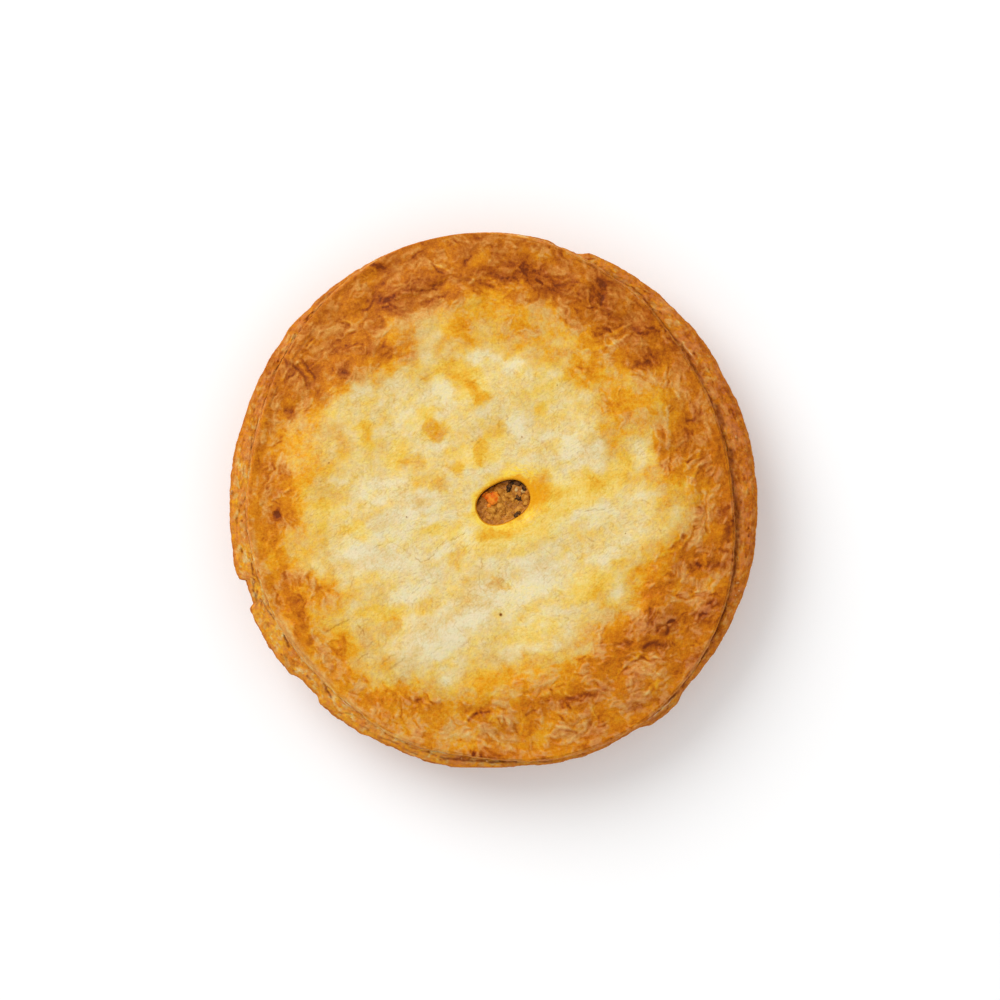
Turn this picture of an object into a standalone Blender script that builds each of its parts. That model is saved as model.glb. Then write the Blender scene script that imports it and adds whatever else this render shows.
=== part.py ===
"""A family-size turkey pot pie, baked in a 9 inch tin and turned out of it.

Three separate pieces make it, as in the real pie: a shortcrust case with a broad flaky rim, the
filling that it holds, and a flaky lid laid over both, with an oval steam vent cut through it.
Metres, +Z up, origin on the table under the middle of the pie. +Y is the side of the pie that is
at the top when it is looked at from above, and angles run anticlockwise from +X.
"""

import math

import bmesh
import bpy
import numpy as np
from mathutils import Euler, Matrix, Vector

MM = 0.001

# The case: a tapered tin's inside, with a rim that lies out flat
RIM_RADIUS = 115.0 * MM
RIM_TOP = 33.5 * MM
RIM_THICKNESS = 5.2 * MM
RIM_DROOP = 1.3 * MM
RIM_WAVE = 0.45 * MM
WALL_TOP_RADIUS = 101.5 * MM
BASE_RADIUS = 88.0 * MM
BASE_CORNER = 3.0 * MM
CRUST = 4.5 * MM
WALL_DENT = 0.35 * MM

# Waves of an outline: order, height and the direction of a crest in degrees
RIM_WAVES = ((1, 0.8 * MM, -29), (2, 1.15 * MM, 110), (3, 0.4 * MM, -32), (4, 0.33 * MM, 30))
LID_WAVES = ((1, 0.5 * MM, -72), (2, 5.9 * MM, 108), (3, 1.7 * MM, -37), (5, 0.4 * MM, 33))

# Bites out of the rim and tabs on it: direction, half width in degrees, depth (below 0 for a tab)
RIM_BITES = (
    (200.5, 3.6, 3.4 * MM),
    (225.0, 4.5, 1.6 * MM),
    (27.5, 4.0, 0.9 * MM),
    (72.5, 4.0, 2.0 * MM),
    (309.0, 4.6, -2.2 * MM),
    (138.0, 3.0, -0.7 * MM),
    (274.0, 5.0, 1.1 * MM),
)

# The lid: pressed thin on the rim, with a shoulder up to a broad crown
LID_RADIUS = 109.1 * MM
LID_EDGE = 2.9 * MM
LID_MIDDLE = 4.0 * MM
SHOULDER_FOOT = 0.965
SHOULDER_TOP = 0.70
SHOULDER_RISE = 5.4 * MM
CROWN_RISE = 1.6 * MM
# Broad, low swells of the crown: length from crest to crest, direction in degrees, phase, height
SWELLS = (
    (74 * MM, 20, 0.4, 0.45 * MM),
    (57 * MM, 84, 2.1, 0.40 * MM),
    (43 * MM, 141, 4.4, 0.32 * MM),
    (34 * MM, 55, 1.2, 0.24 * MM),
    (29 * MM, 112, 5.3, 0.20 * MM),
    (25 * MM, 3, 3.0, 0.18 * MM),
)

# Blisters in the browned ring: direction, distance out, length round, width in and out, height
GREAT_BLISTERS = (
    (108, 99.5 * MM, 34 * MM, 15 * MM, 1.9 * MM),
    (309, 101.0 * MM, 34 * MM, 21 * MM, 2.2 * MM),
    (290, 100.0 * MM, 24 * MM, 17 * MM, 1.5 * MM),
    (270, 94.0 * MM, 24 * MM, 13 * MM, 1.6 * MM),
    (57, 99.0 * MM, 18 * MM, 12 * MM, 1.5 * MM),
    (150, 96.5 * MM, 20 * MM, 13 * MM, 1.4 * MM),
)
SMALL_BLISTERS = 22
SMALL_BLISTER_LENGTH = (11 * MM, 20 * MM)
SMALL_BLISTER_HEIGHT = (0.6 * MM, 1.3 * MM)
BLISTER_RING = (78 * MM, 104 * MM)
BLISTER_SEED = 27
FOLDS = 23
FOLD_HEIGHT = 0.8 * MM
FOLD_LEAN = 5.5

# The steam vent: an egg-shaped hole, a little to the right of the middle
VENT_CENTRE = (5.0 * MM, -0.7 * MM)
VENT_LONG = 12.0 * MM
VENT_SHORT = 8.6 * MM
VENT_TURN = 27
VENT_SQUARENESS = 2.25
VENT_LIP = 0.7 * MM
FILLING_DROP = 3.6 * MM

# Pieces that show in the vent: kind, place along its long and short axis, size, turn in degrees
VENT_PIECES = (
    ("dice", -2.6 * MM, 2.9 * MM, (5.8 * MM, 4.6 * MM, 4.2 * MM), 52),
    ("lump", 3.2 * MM, 2.2 * MM, (6.6 * MM, 4.6 * MM, 4.0 * MM), 20),
    ("lump", -5.0 * MM, -2.2 * MM, (7.0 * MM, 5.4 * MM, 3.8 * MM), -30),
    ("lump", 0.6 * MM, -3.4 * MM, (7.4 * MM, 5.0 * MM, 3.6 * MM), 12),
    ("lump", 5.6 * MM, -2.0 * MM, (5.6 * MM, 4.2 * MM, 4.2 * MM), 75),
    ("lump", 8.2 * MM, 1.4 * MM, (5.0 * MM, 3.6 * MM, 3.4 * MM), -15),
    ("lump", -7.8 * MM, 1.6 * MM, (4.6 * MM, 3.8 * MM, 3.2 * MM), 40),
    ("dice", 1.2 * MM, 5.6 * MM, (4.2 * MM, 3.2 * MM, 3.0 * MM), 10),
)
PIECE_SINK = 1.0 * MM

# Clearance between two pieces that touch, and how finely each is divided
GAP = 0.3 * MM
AROUND_CASE = 126
AROUND_LID = 120
AROUND_FILLING = 48

PASTRY_GOLD = (0.62, 0.27, 0.055, 1.0)
PASTRY_PALE = (0.80, 0.56, 0.20, 1.0)
GRAVY_BROWN = (0.32, 0.14, 0.045, 1.0)


def clear_scene():
    for old in list(bpy.data.objects):
        bpy.data.objects.remove(old)


def smooth(share):
    """A smooth step from 0 to 1."""
    share = np.clip(share, 0.0, 1.0)
    return share * share * (3.0 - 2.0 * share)


def waved_radius(mean, waves, angle):
    """A circle's radius with low waves on it."""
    radius = np.full_like(angle, mean)
    for order, height, crest in waves:
        radius += height * np.cos(order * (angle - math.radians(crest)))
    return radius


def turn_between(angle, direction):
    """How far an angle is from a direction given in degrees, in degrees, the short way round."""
    return (np.degrees(angle) - direction + 180.0) % 360.0 - 180.0


def rim_radius(angle):
    """The rim's outline: a waved circle less its bites, each with a flat bottom and steep sides."""
    radius = waved_radius(RIM_RADIUS, RIM_WAVES, angle)
    for direction, half_width, depth in RIM_BITES:
        radius -= depth / (1.0 + np.abs(turn_between(angle, direction) / half_width) ** 8)
    return radius


def lid_radius(angle):
    return waved_radius(LID_RADIUS, LID_WAVES, angle)


def rim_top(radius, angle):
    """Height of the rim's upper face: it droops towards its edge and waves a little round the pie."""
    inner = WALL_TOP_RADIUS - CRUST
    out = np.clip((radius - inner) / (RIM_RADIUS - inner), 0.0, 1.2)
    wave = np.cos(5 * angle + 0.6) + 0.6 * np.cos(9 * angle - 1.1)
    return RIM_TOP - RIM_DROOP * out**2 + RIM_WAVE * wave * out


def dome_rise(share):
    """The lid's rise over the rim: a shoulder near the edge, then a slow climb to the middle."""
    shoulder = smooth((SHOULDER_FOOT - share) / (SHOULDER_FOOT - SHOULDER_TOP))
    crown = np.clip(1.0 - share**2, 0.0, 1.0)
    return SHOULDER_RISE * shoulder + CROWN_RISE * crown * shoulder


def lid_underside(x, y):
    radius = np.hypot(x, y)
    angle = np.arctan2(y, x)
    return rim_top(radius, angle) + GAP + dome_rise(radius / lid_radius(angle))


def blisters():
    """Every blister: the great ones as they lie, then small ones round the ring by a seeded rule."""
    rows = list(GREAT_BLISTERS)
    chance = np.random.default_rng(BLISTER_SEED)
    for number in range(SMALL_BLISTERS):
        direction = 360.0 * (number + chance.uniform(-0.35, 0.35)) / SMALL_BLISTERS
        distance = chance.uniform(*BLISTER_RING)
        length = chance.uniform(*SMALL_BLISTER_LENGTH)
        width = length * chance.uniform(0.55, 0.95)
        rows.append((direction, distance, length, width, chance.uniform(*SMALL_BLISTER_HEIGHT)))
    return rows


def blister_relief(x, y):
    """Bubbles in the lid: ovals with a steep foot and a rounded top. Where two meet, the higher shows."""
    relief = np.zeros_like(x)
    for direction, distance, length, width, height in blisters():
        turn = math.radians(direction)
        out = x * math.cos(turn) + y * math.sin(turn) - distance
        along = -x * math.sin(turn) + y * math.cos(turn)
        spread = np.clip(1.0 - (2 * along / length) ** 2 - (2 * out / width) ** 2, 0.0, 1.0)
        relief = np.maximum(relief, height * spread**0.7)
    return relief


def fold_relief(angle, share):
    """Creased folds that lean as they run in from the edge: the absolute value of a swaying sine."""
    sway = 0.9 * np.sin(3 * angle + 7.0 * share) + 0.6 * np.sin(7 * angle - 4.0 * share)
    crease = np.abs(np.sin(0.5 * FOLDS * angle + FOLD_LEAN * share + sway))
    band = smooth((share - 0.58) / 0.2) * smooth((1.0 - share) / 0.07)
    return FOLD_HEIGHT * (crease - 0.5) * band


def swell_relief(x, y):
    """Broad, low swells over the whole lid: sine waves of several lengths that cross one another."""
    relief = np.zeros_like(x)
    for length, direction, phase, height in SWELLS:
        turn = math.radians(direction)
        across = x * math.cos(turn) + y * math.sin(turn)
        relief += height * np.sin(2 * math.pi * across / length + phase)
    return relief


def vent_share(x, y):
    """Distance from the vent's middle as a share of its outline that way, so 1 is on the outline."""
    turn = math.radians(VENT_TURN)
    dx, dy = x - VENT_CENTRE[0], y - VENT_CENTRE[1]
    along = (dx * math.cos(turn) + dy * math.sin(turn)) / VENT_LONG
    across = (-dx * math.sin(turn) + dy * math.cos(turn)) / VENT_SHORT
    total = np.abs(along) ** VENT_SQUARENESS + np.abs(across) ** VENT_SQUARENESS
    return total ** (1.0 / VENT_SQUARENESS)


def lid_top(x, y):
    """Height of the lid's upper face: underside, thickness and relief, which fades at vent and edge."""
    radius = np.hypot(x, y)
    angle = np.arctan2(y, x)
    share = radius / lid_radius(angle)
    thickness = LID_EDGE + (LID_MIDDLE - LID_EDGE) * smooth((1.0 - share) / 0.25)
    calm = smooth((vent_share(x, y) - 1.0) / 0.8) * smooth((1.0 - share) / 0.05)
    relief = blister_relief(x, y) + fold_relief(angle, share) + swell_relief(x, y)
    return lid_underside(x, y) + thickness + relief * calm


def vent_ring(growth, count):
    """Points on the vent's outline, grown outward by a distance."""
    angle = round_angles(count)
    turn = math.radians(VENT_TURN)
    long_half, short_half = VENT_LONG + growth, VENT_SHORT + growth
    power = 2.0 / VENT_SQUARENESS
    local = angle - turn
    along = long_half * np.sign(np.cos(local)) * np.abs(np.cos(local)) ** power
    across = short_half * np.sign(np.sin(local)) * np.abs(np.sin(local)) ** power
    x = VENT_CENTRE[0] + along * math.cos(turn) - across * math.sin(turn)
    y = VENT_CENTRE[1] + along * math.sin(turn) + across * math.cos(turn)
    return x, y


def round_angles(count):
    return np.linspace(0.0, 2 * math.pi, count, endpoint=False)


def ring_points(radius, angle, height):
    """One closed ring of points from its radius and height at each angle."""
    return np.stack([radius * np.cos(angle), radius * np.sin(angle), height + 0.0 * angle], axis=1)


def lofted_solid(name, rings, colour, closed_tube):
    """A solid skinned over rings of points, closed by flat caps or by joining the last to the first."""
    mesh = bpy.data.meshes.new(name)
    shape = bmesh.new()
    loops = [[shape.verts.new(point) for point in ring] for ring in rings]
    count = len(loops[0])
    pairs = list(zip(loops, loops[1:]))
    if closed_tube:
        pairs.append((loops[-1], loops[0]))
    for lower, upper in pairs:
        for k in range(count):
            after = (k + 1) % count
            shape.faces.new((lower[k], lower[after], upper[after], upper[k]))
    if not closed_tube:
        shape.faces.new(list(reversed(loops[0])))
        shape.faces.new(loops[-1])
    bmesh.ops.recalc_face_normals(shape, faces=shape.faces)
    bmesh.ops.triangulate(shape, faces=shape.faces)
    shape.to_mesh(mesh)
    shape.free()
    mesh.materials.append(plain_material(name, *colour))
    mesh.shade_smooth()
    mesh.set_sharp_from_angle(angle=math.radians(50))
    piece = bpy.data.objects.new(name, mesh)
    bpy.context.scene.collection.objects.link(piece)
    return piece


def plain_material(name, colour, roughness):
    material = bpy.data.materials.new(name)
    material.use_nodes = True
    shader = material.node_tree.nodes["Principled BSDF"]
    shader.inputs["Base Color"].default_value = colour
    shader.inputs["Roughness"].default_value = roughness
    shader.inputs["Metallic"].default_value = 0.0
    return material


def wall_radius(height, angle):
    """Outside of the case's wall: a straight taper with shallow dents that drift round as they rise."""
    taper = (WALL_TOP_RADIUS - BASE_RADIUS) / (RIM_TOP - RIM_THICKNESS)
    dents = np.cos(11 * angle + 130.0 * height) + 0.7 * np.cos(17 * angle - 210.0 * height)
    return BASE_RADIUS + taper * height + WALL_DENT * dents * smooth(height / (8 * MM))


def layer_jitter(angle, layer):
    """How far one flaky layer of an edge stands in or out, from -1 to 1."""
    wander = np.sin(13 * angle + 2.3 * layer) + np.sin(29 * angle - 1.7 * layer)
    return (wander + np.sin(47 * angle + 4.1 * layer)) / 3.0


def make_case():
    """The case, from its flat base up the wall, round the rim's layered edge and down inside."""
    angle = round_angles(AROUND_CASE)
    edge = rim_radius(angle)
    rings = []
    # Base and its rounded corner
    for share in (0.0, 0.5, 1.0):
        turn = 0.5 * math.pi * share
        radius = BASE_RADIUS - BASE_CORNER * (1.0 - math.sin(turn))
        height = BASE_CORNER * (1.0 - math.cos(turn))
        rings.append(ring_points(wall_radius(height, angle) - BASE_RADIUS + radius, angle, height))
    # Wall
    underside = RIM_TOP - RIM_THICKNESS
    for height in (12 * MM, underside - 1.6 * MM):
        rings.append(ring_points(wall_radius(height, angle), angle, height))
    # Underside of the rim, with a small fillet where it leaves the wall
    rings.append(ring_points(wall_radius(underside, angle) + 1.5 * MM, angle, underside - 0.3 * MM))
    drop = rim_top(edge, angle)
    # Layered edge: distance in from the outline, depth below the rim's top, how much the layer wanders
    layers = (
        (2.6, 5.1, 0.2),
        (1.2, 4.0, 0.6),
        (2.3, 3.3, 0.3),
        (0.2, 2.5, 0.4),
        (1.5, 1.5, 0.3),
        (0.5, 0.8, 0.4),
        (1.9, 0.0, 0.3),
    )
    for number, (inward, depth, wander) in enumerate(layers):
        stand = edge - inward * MM + wander * MM * layer_jitter(angle, number // 2)
        rings.append(ring_points(stand, angle, drop - depth * MM))
    # Upper face of the rim, then the inside of the case
    inner = WALL_TOP_RADIUS - CRUST
    for share in (0.66, 0.33):
        radius = inner + (edge - inner) * share
        rings.append(ring_points(radius, angle, rim_top(radius, angle)))
    rings.append(ring_points(inner + 0.8 * MM, angle, rim_top(inner, angle)))
    for height in (underside, CRUST + 2.0 * MM):
        rings.append(ring_points(inside_radius(height), angle, height))
    rings.append(ring_points(inside_radius(CRUST) - 2.0 * MM, angle, CRUST))
    return lofted_solid("pastry_case", rings, (PASTRY_GOLD, 0.6), closed_tube=False)


def inside_radius(height):
    """Inside of the case's wall, which keeps one thickness of crust."""
    taper = (WALL_TOP_RADIUS - BASE_RADIUS) / (RIM_TOP - RIM_THICKNESS)
    return min(BASE_RADIUS + taper * height, WALL_TOP_RADIUS) - CRUST


def make_lid():
    """The lid: a ring from the vent's wall out over the top, down the edge and back underneath."""
    angle = round_angles(AROUND_LID)
    edge = lid_radius(angle)
    lip_x, lip_y = vent_ring(VENT_LIP, AROUND_LID)
    wall_x, wall_y = vent_ring(0.0, AROUND_LID)
    outer_x, outer_y = edge * np.cos(angle), edge * np.sin(angle)
    rings = []

    def face_ring(inner_x, inner_y, share, height_of, shift):
        """A ring part of the way from the vent to the edge, at the height of a face of the lid."""
        x = inner_x + (outer_x - inner_x) * share
        y = inner_y + (outer_y - inner_y) * share
        rings.append(np.stack([x, y, height_of(x, y) + shift], axis=1))

    # Vent wall and its rounded lip
    face_ring(wall_x, wall_y, 0.0, lid_underside, 0.0)
    face_ring(wall_x, wall_y, 0.0, lid_top, -0.8 * MM)
    # Upper face, with its rings closer together towards the edge
    steps = 18
    for step in range(steps):
        share = (step / steps) ** 0.72
        face_ring(lip_x, lip_y, share * 0.985, lid_top, 0.0)
    # Layered edge: distance in from the outline, height over the underside, how much the layer wanders
    foot = lid_underside(outer_x, outer_y)
    layers = (
        (0.8, 2.5, 0.35),
        (0.2, 1.8, 0.35),
        (1.1, 1.3, 0.2),
        (0.1, 0.8, 0.4),
        (0.6, 0.1, 0.3),
    )
    for number, (inward, height, wander) in enumerate(layers):
        stand = edge - inward * MM + wander * MM * layer_jitter(angle, 7 + number // 2)
        rings.append(ring_points(stand, angle, foot + height * MM))
    # Underside, which follows the rim and then the dome
    for share in (0.93, 0.88, 0.83, 0.76, 0.69, 0.45):
        face_ring(wall_x, wall_y, share, lid_underside, 0.0)
    return lofted_solid("pastry_lid", rings, (PASTRY_PALE, 0.5), closed_tube=True)


def filling_surface(x, y):
    """Top of the filling: against the lid's underside, but bulging up into the vent."""
    under = lid_underside(x, y) - 2 * GAP
    level = lid_underside(*VENT_CENTRE) + LID_MIDDLE - FILLING_DROP
    bulge = smooth((0.93 - vent_share(x, y)) / 0.12)
    return under + (level - under) * bulge


def make_filling():
    """The filling out to the case on all sides, with the pieces that show in the vent joined to it."""
    angle = round_angles(AROUND_FILLING)
    rings = [ring_points(inside_radius(CRUST) - 3.0 * MM, angle, CRUST + GAP)]
    for height in (CRUST + 2.2 * MM, RIM_TOP - RIM_THICKNESS, RIM_TOP - 3.0 * MM):
        rings.append(ring_points(inside_radius(height) - 2 * GAP, angle, height))
    rim = inside_radius(RIM_TOP) - 2.5 * MM
    for share in (1.0, 0.95, 0.89, 0.82, 0.75, 0.5):
        radius = rim * share
        x, y = radius * np.cos(angle), radius * np.sin(angle)
        rings.append(np.stack([x, y, filling_surface(x, y)], axis=1))
    for growth in (-0.3 * MM, -1.4 * MM, -4.5 * MM):
        x, y = vent_ring(growth, AROUND_FILLING)
        rings.append(np.stack([x, y, filling_surface(x, y)], axis=1))
    core = lofted_solid("turkey_filling", rings, (GRAVY_BROWN, 0.35), closed_tube=False)
    join_pieces(core)
    return core


def vent_piece(kind, number, size):
    """A carrot dice with its corners taken off, or an uneven lump of meat."""
    mesh = bpy.data.meshes.new(f"vent_piece_{number}")
    shape = bmesh.new()
    if kind == "dice":
        bmesh.ops.create_cube(shape, size=1.0)
        bmesh.ops.bevel(
            shape, geom=shape.edges[:], offset=0.12, segments=1, affect="EDGES", profile=0.5
        )
    else:
        bmesh.ops.create_icosphere(shape, subdivisions=1, radius=0.5)
        for vert in shape.verts:
            uneven = math.sin(9.0 * vert.co.x + number) * math.cos(7.0 * vert.co.y - number)
            vert.co *= 1.0 + 0.14 * uneven
    bmesh.ops.scale(shape, vec=Vector(size), verts=shape.verts)
    shape.to_mesh(mesh)
    shape.free()
    return bpy.data.objects.new(mesh.name, mesh)


def join_pieces(core):
    """Sets the vent's pieces into the filling and joins them to it with one Boolean union."""
    pieces = bpy.data.collections.new("vent_pieces")
    bpy.context.scene.collection.children.link(pieces)
    turn = Matrix.Rotation(math.radians(VENT_TURN), 3, "Z")
    for number, (kind, along, across, size, spin) in enumerate(VENT_PIECES):
        piece = vent_piece(kind, number, size)
        place = turn @ Vector((along, across, 0.0))
        x, y = VENT_CENTRE[0] + place.x, VENT_CENTRE[1] + place.y
        level = float(filling_surface(np.array([x]), np.array([y]))[0])
        piece.location = (x, y, level - PIECE_SINK)
        tilt = 0.16 * math.sin(2.1 * number)
        piece.rotation_euler = Euler((tilt, -tilt, math.radians(VENT_TURN + spin)))
        pieces.objects.link(piece)
    union = core.modifiers.new("join", "BOOLEAN")
    union.operation = "UNION"
    union.operand_type = "COLLECTION"
    union.collection = pieces
    union.solver = "EXACT"
    bpy.context.view_layer.update()
    graph = bpy.context.evaluated_depsgraph_get()
    joined = bpy.data.meshes.new_from_object(core.evaluated_get(graph))
    core.modifiers.clear()
    core.data = joined
    for piece in list(pieces.objects):
        bpy.data.objects.remove(piece)
    bpy.data.collections.remove(pieces)


clear_scene()
make_case()
make_filling()
make_lid()
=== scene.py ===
"""The looks of a family-size turkey pot pie, seen from above.

Thirteen dressed pieces stand for the three plain solids of the frame: the case with its flaky rim; the
lid, cut into six rings so that each can be fine enough; the filling's core, and the turkey, carrot,
mushroom and onion that show in the vent; and the loose crumbs on the rim. Lengths are in millimetres
until a mesh is made. Directions are in degrees, anticlockwise from +X, which is to the right when the
pie is seen from above with +Y at the top.
"""

import math

import bpy
import numpy as np
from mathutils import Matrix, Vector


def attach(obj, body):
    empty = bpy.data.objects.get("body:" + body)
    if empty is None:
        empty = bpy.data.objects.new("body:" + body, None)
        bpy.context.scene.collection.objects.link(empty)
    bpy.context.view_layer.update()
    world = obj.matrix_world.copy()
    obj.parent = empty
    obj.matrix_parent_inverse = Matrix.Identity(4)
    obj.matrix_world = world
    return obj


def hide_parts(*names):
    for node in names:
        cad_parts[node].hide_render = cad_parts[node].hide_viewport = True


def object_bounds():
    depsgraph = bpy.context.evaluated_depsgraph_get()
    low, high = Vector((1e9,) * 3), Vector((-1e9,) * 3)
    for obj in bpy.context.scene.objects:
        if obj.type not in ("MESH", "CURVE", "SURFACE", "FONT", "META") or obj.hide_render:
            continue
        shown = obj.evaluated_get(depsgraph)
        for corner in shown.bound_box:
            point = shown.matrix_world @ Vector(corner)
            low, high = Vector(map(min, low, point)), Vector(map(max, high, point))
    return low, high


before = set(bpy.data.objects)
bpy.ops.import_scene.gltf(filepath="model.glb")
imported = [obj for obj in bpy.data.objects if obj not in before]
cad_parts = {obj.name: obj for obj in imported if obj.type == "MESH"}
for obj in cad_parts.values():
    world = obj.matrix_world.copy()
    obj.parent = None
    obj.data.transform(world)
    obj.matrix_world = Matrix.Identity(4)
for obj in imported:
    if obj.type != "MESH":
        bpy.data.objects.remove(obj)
CAD_LOW, CAD_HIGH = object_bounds()

MM = 0.001
# Every point stays this far inside the frame's box, in metres
BOX_MARGIN = 1e-5

# The case
RIM_RADIUS = 115.0
RIM_TOP = 33.5
RIM_THICKNESS = 5.2
RIM_DROOP = 1.3
RIM_WAVE = 0.45
WALL_TOP_RADIUS = 101.5
BASE_RADIUS = 88.0
BASE_CORNER = 3.0
CRUST = 4.5
WALL_DENT = 0.35
# How far the rim's layered edge curls in, and how deep it is. It is most ragged at the lower left:
# direction, half width in degrees, and how much more
RIM_CURL = 2.4
RIM_EDGE_DEPTH = 5.1
WILD_DIRECTION = 232
WILD_WIDTH = 30
WILD_SHARE = 0.9

# Waves of an outline: order, height and the direction of a crest
RIM_WAVES = ((1, 0.8, -29), (2, 1.15, 110), (3, 0.4, -32), (4, 0.33, 30))
LID_WAVES = ((1, 0.5, -72), (2, 5.9, 108), (3, 1.7, -37), (5, 0.4, 33))

# Bites out of the rim and tabs on it: direction, half width in degrees, depth (below 0 for a tab), power
# that makes its ends steep. Then the same for the lid's edge
RIM_BITES = (
    (200.7, 3.0, 2.5, 26),
    (225.3, 3.7, 2.3, 8),
    (27.5, 4.0, 0.5, 8),
    (73.0, 3.4, 2.0, 7),
    (309.0, 4.6, -2.3, 8),
    (138.0, 3.0, -0.5, 12),
    (276.0, 3.6, 1.0, 8),
    (345.0, 4.0, -0.5, 6),
    (135.0, 50.0, 0.6, 4),
    (308.0, 16.0, 0.4, 4),
    (232.0, 30.0, -0.4, 4),
    (261.0, 9.0, -0.7, 8),
    (292.5, 4.0, -0.6, 6),
    (194.0, 2.6, -0.7, 6),
    (162.0, 2.6, 0.5, 6),
    (246.0, 3.0, 0.5, 6),
)
LID_BITES = (
    (19.0, 14.0, -1.2, 4),
    (54.0, 5.0, -1.0, 4),
    (165.0, 14.0, 1.3, 6),
    (232.0, 9.0, 1.2, 4),
    (266.0, 9.0, 1.5, 4),
    (321.0, 12.0, 0.8, 4),
)

# Noises that make an edge ragged: waves to a radian, waves down the edge, height, seed
RIM_RAGGED = ((15, 2.0, 0.35, 89), (38, 5.0, 0.20, 93), (90, 7.0, 0.14, 94))
LID_RAGGED = ((17, 2.5, 0.45, 70), (45, 5.0, 0.22, 72), (110, 7.0, 0.14, 73))

# The lid
LID_RADIUS = 109.1
LID_EDGE = 2.9
LID_MIDDLE = 4.0
SHOULDER_FOOT = 0.965
SHOULDER_TOP = 0.70
SHOULDER_RISE = 5.4
CROWN_RISE = 1.6
# Where its top ends and its cut edge begins, as a share of its radius; how much of the rim shows at
# the least beyond the cut edge; how far its foot sinks; and how far its looks are rolled up from the rim
LID_TOP_END = 0.99
RIM_SHOWS = 0.2
FOOT_SINK = 0.25
CUT_EDGE_ROLL = 3.0

# Broad, low swells of the crown: length from crest to crest, direction, phase, height
SWELLS = (
    (74, 20, 0.4, 0.45),
    (57, 84, 2.1, 0.40),
    (43, 141, 4.4, 0.32),
    (34, 55, 1.2, 0.24),
    (29, 112, 5.3, 0.20),
    (25, 3, 3.0, 0.18),
)

# Blisters in the browned ring: direction, distance out, length round, width in and out, height
GREAT_BLISTERS = (
    (108, 99.5, 34, 15, 1.9),
    (309, 101.0, 34, 21, 2.2),
    (290, 100.0, 24, 17, 1.5),
    (270, 94.0, 24, 13, 1.6),
    (57, 99.0, 18, 12, 1.5),
    (150, 96.5, 20, 13, 1.4),
)
SMALL_BLISTERS = 22
SMALL_BLISTER_LENGTH = (11, 20)
SMALL_BLISTER_HEIGHT = (0.6, 1.3)
BLISTER_RING = (78, 104)
BLISTER_SEED = 27
FOLDS = 23
FOLD_HEIGHT = 0.8
FOLD_LEAN = 5.5

# The steam vent and what shows in it
VENT_CENTRE = (5.0, -0.7)
VENT_LONG = 11.7
VENT_SHORT = 8.3
VENT_TURN = 27
VENT_SQUARENESS = 2.35
VENT_LIP = 0.7
# Its wall from below up: share of the height, and share of the way over to the lip
VENT_WALL = ((0.0, 0.0), (0.3, 0.0), (0.6, 0.05), (0.85, 0.3), (0.97, 0.7))
FILLING_DROP = 3.0
GAP = 0.3

# How finely the pieces are cut: points round them, and rings of each part. The lid's top is six
# rings: name, the shares of the way from the vent to the edge where it begins and ends, points round
# it, and rows. They overlap a little, and there each surface dips by the depth of a hair
CASE_AROUND = 1000
BASE_RINGS = 8
CORNER_RINGS = 5
WALL_RINGS = 11
RIM_EDGE_RINGS = 26
RIM_TOP_RINGS = 44
FILLING_AROUND = 240
VENT_FLOOR_RINGS = 36
LUMP_GRID = (14, 22)
CRUMB_GRID = (7, 9)
LID_RINGS = (
    ("lid_middle", 0.0, 0.225, 800, 76),
    ("lid_cream_ring", 0.21, 0.415, 1150, 74),
    ("lid_gold_ring", 0.40, 0.615, 1300, 62),
    ("lid_shoulder", 0.60, 0.77, 1650, 50),
    ("lid_brown_ring", 0.755, 0.90, 1850, 44),
    ("lid_edge", 0.885, LID_TOP_END, 1900, 29),
)
CUT_EDGE_RINGS = 17
LID_OVERLAP = 0.015
LID_DIP = 0.06
# The underside needs few rows, and the middle ring's begin well away from the vent
UNDERSIDE_ROWS = 4
UNDERSIDE_INNER = 0.2

# What each surface point carries for the materials
LID_TINTS = ("bake", "cream", "blush", "yolk", "shade")
PLAIN_TINTS = (0.25, 0.0, 0.0, 0.0, 0.0)
CASE_TINTS = ("bake", "cream", "blush", "marks_and_shade")

# The crust's tones as it browns, as a screen shows them, from cream through gold to dark brown: place,
# red, green, blue, and how much blue the cream tint adds or takes
CRUST_TONES = (
    (0.00, 229, 210, 152, 18),
    (0.08, 226, 198, 123, 24),
    (0.17, 222, 184, 92, 26),
    (0.26, 218, 169, 68, 26),
    (0.35, 215, 153, 48, 30),
    (0.44, 210, 139, 33, 30),
    (0.53, 201, 124, 20, 28),
    (0.62, 191, 110, 12, 24),
    (0.70, 179, 97, 8, 16),
    (0.79, 164, 82, 6, 6),
    (0.88, 149, 67, 4, 4),
    (1.00, 112, 44, 3, 3),
)
CREAM_RED = -0.25
GREENISH = (0.945, 1.005, 0.98, 1.0)
PINKISH = (1.045, 0.993, 1.02, 1.0)
ROSY = (212, 142, 92)
ROSY_SHARE = 0.26
PALE_PINK = (226, 182, 138)
# The olive brown of cracks, specks and dark strokes, and the brown of the rim's strokes and pits; both
# also carry painted shade along the lid's edge
CRACK_AND_SHADOW_BROWN = (114, 56, 10)
MARKS_AND_SHADE_BROWN = (120, 52, 6)
YOLK_PALE = (240, 204, 52)
YOLK_DEEP = (224, 152, 0)
GRAVY_DARK = (158, 94, 22)
GRAVY_LIGHT = (196, 128, 44)
# The painted shadow on the gravy beside the vent's wall
GRAVY_PAINTED_SHADOW = (78, 36, 8)
CRUMB_DARK = (170, 102, 42)
CRUMB_LIGHT = (200, 150, 94)

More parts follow.
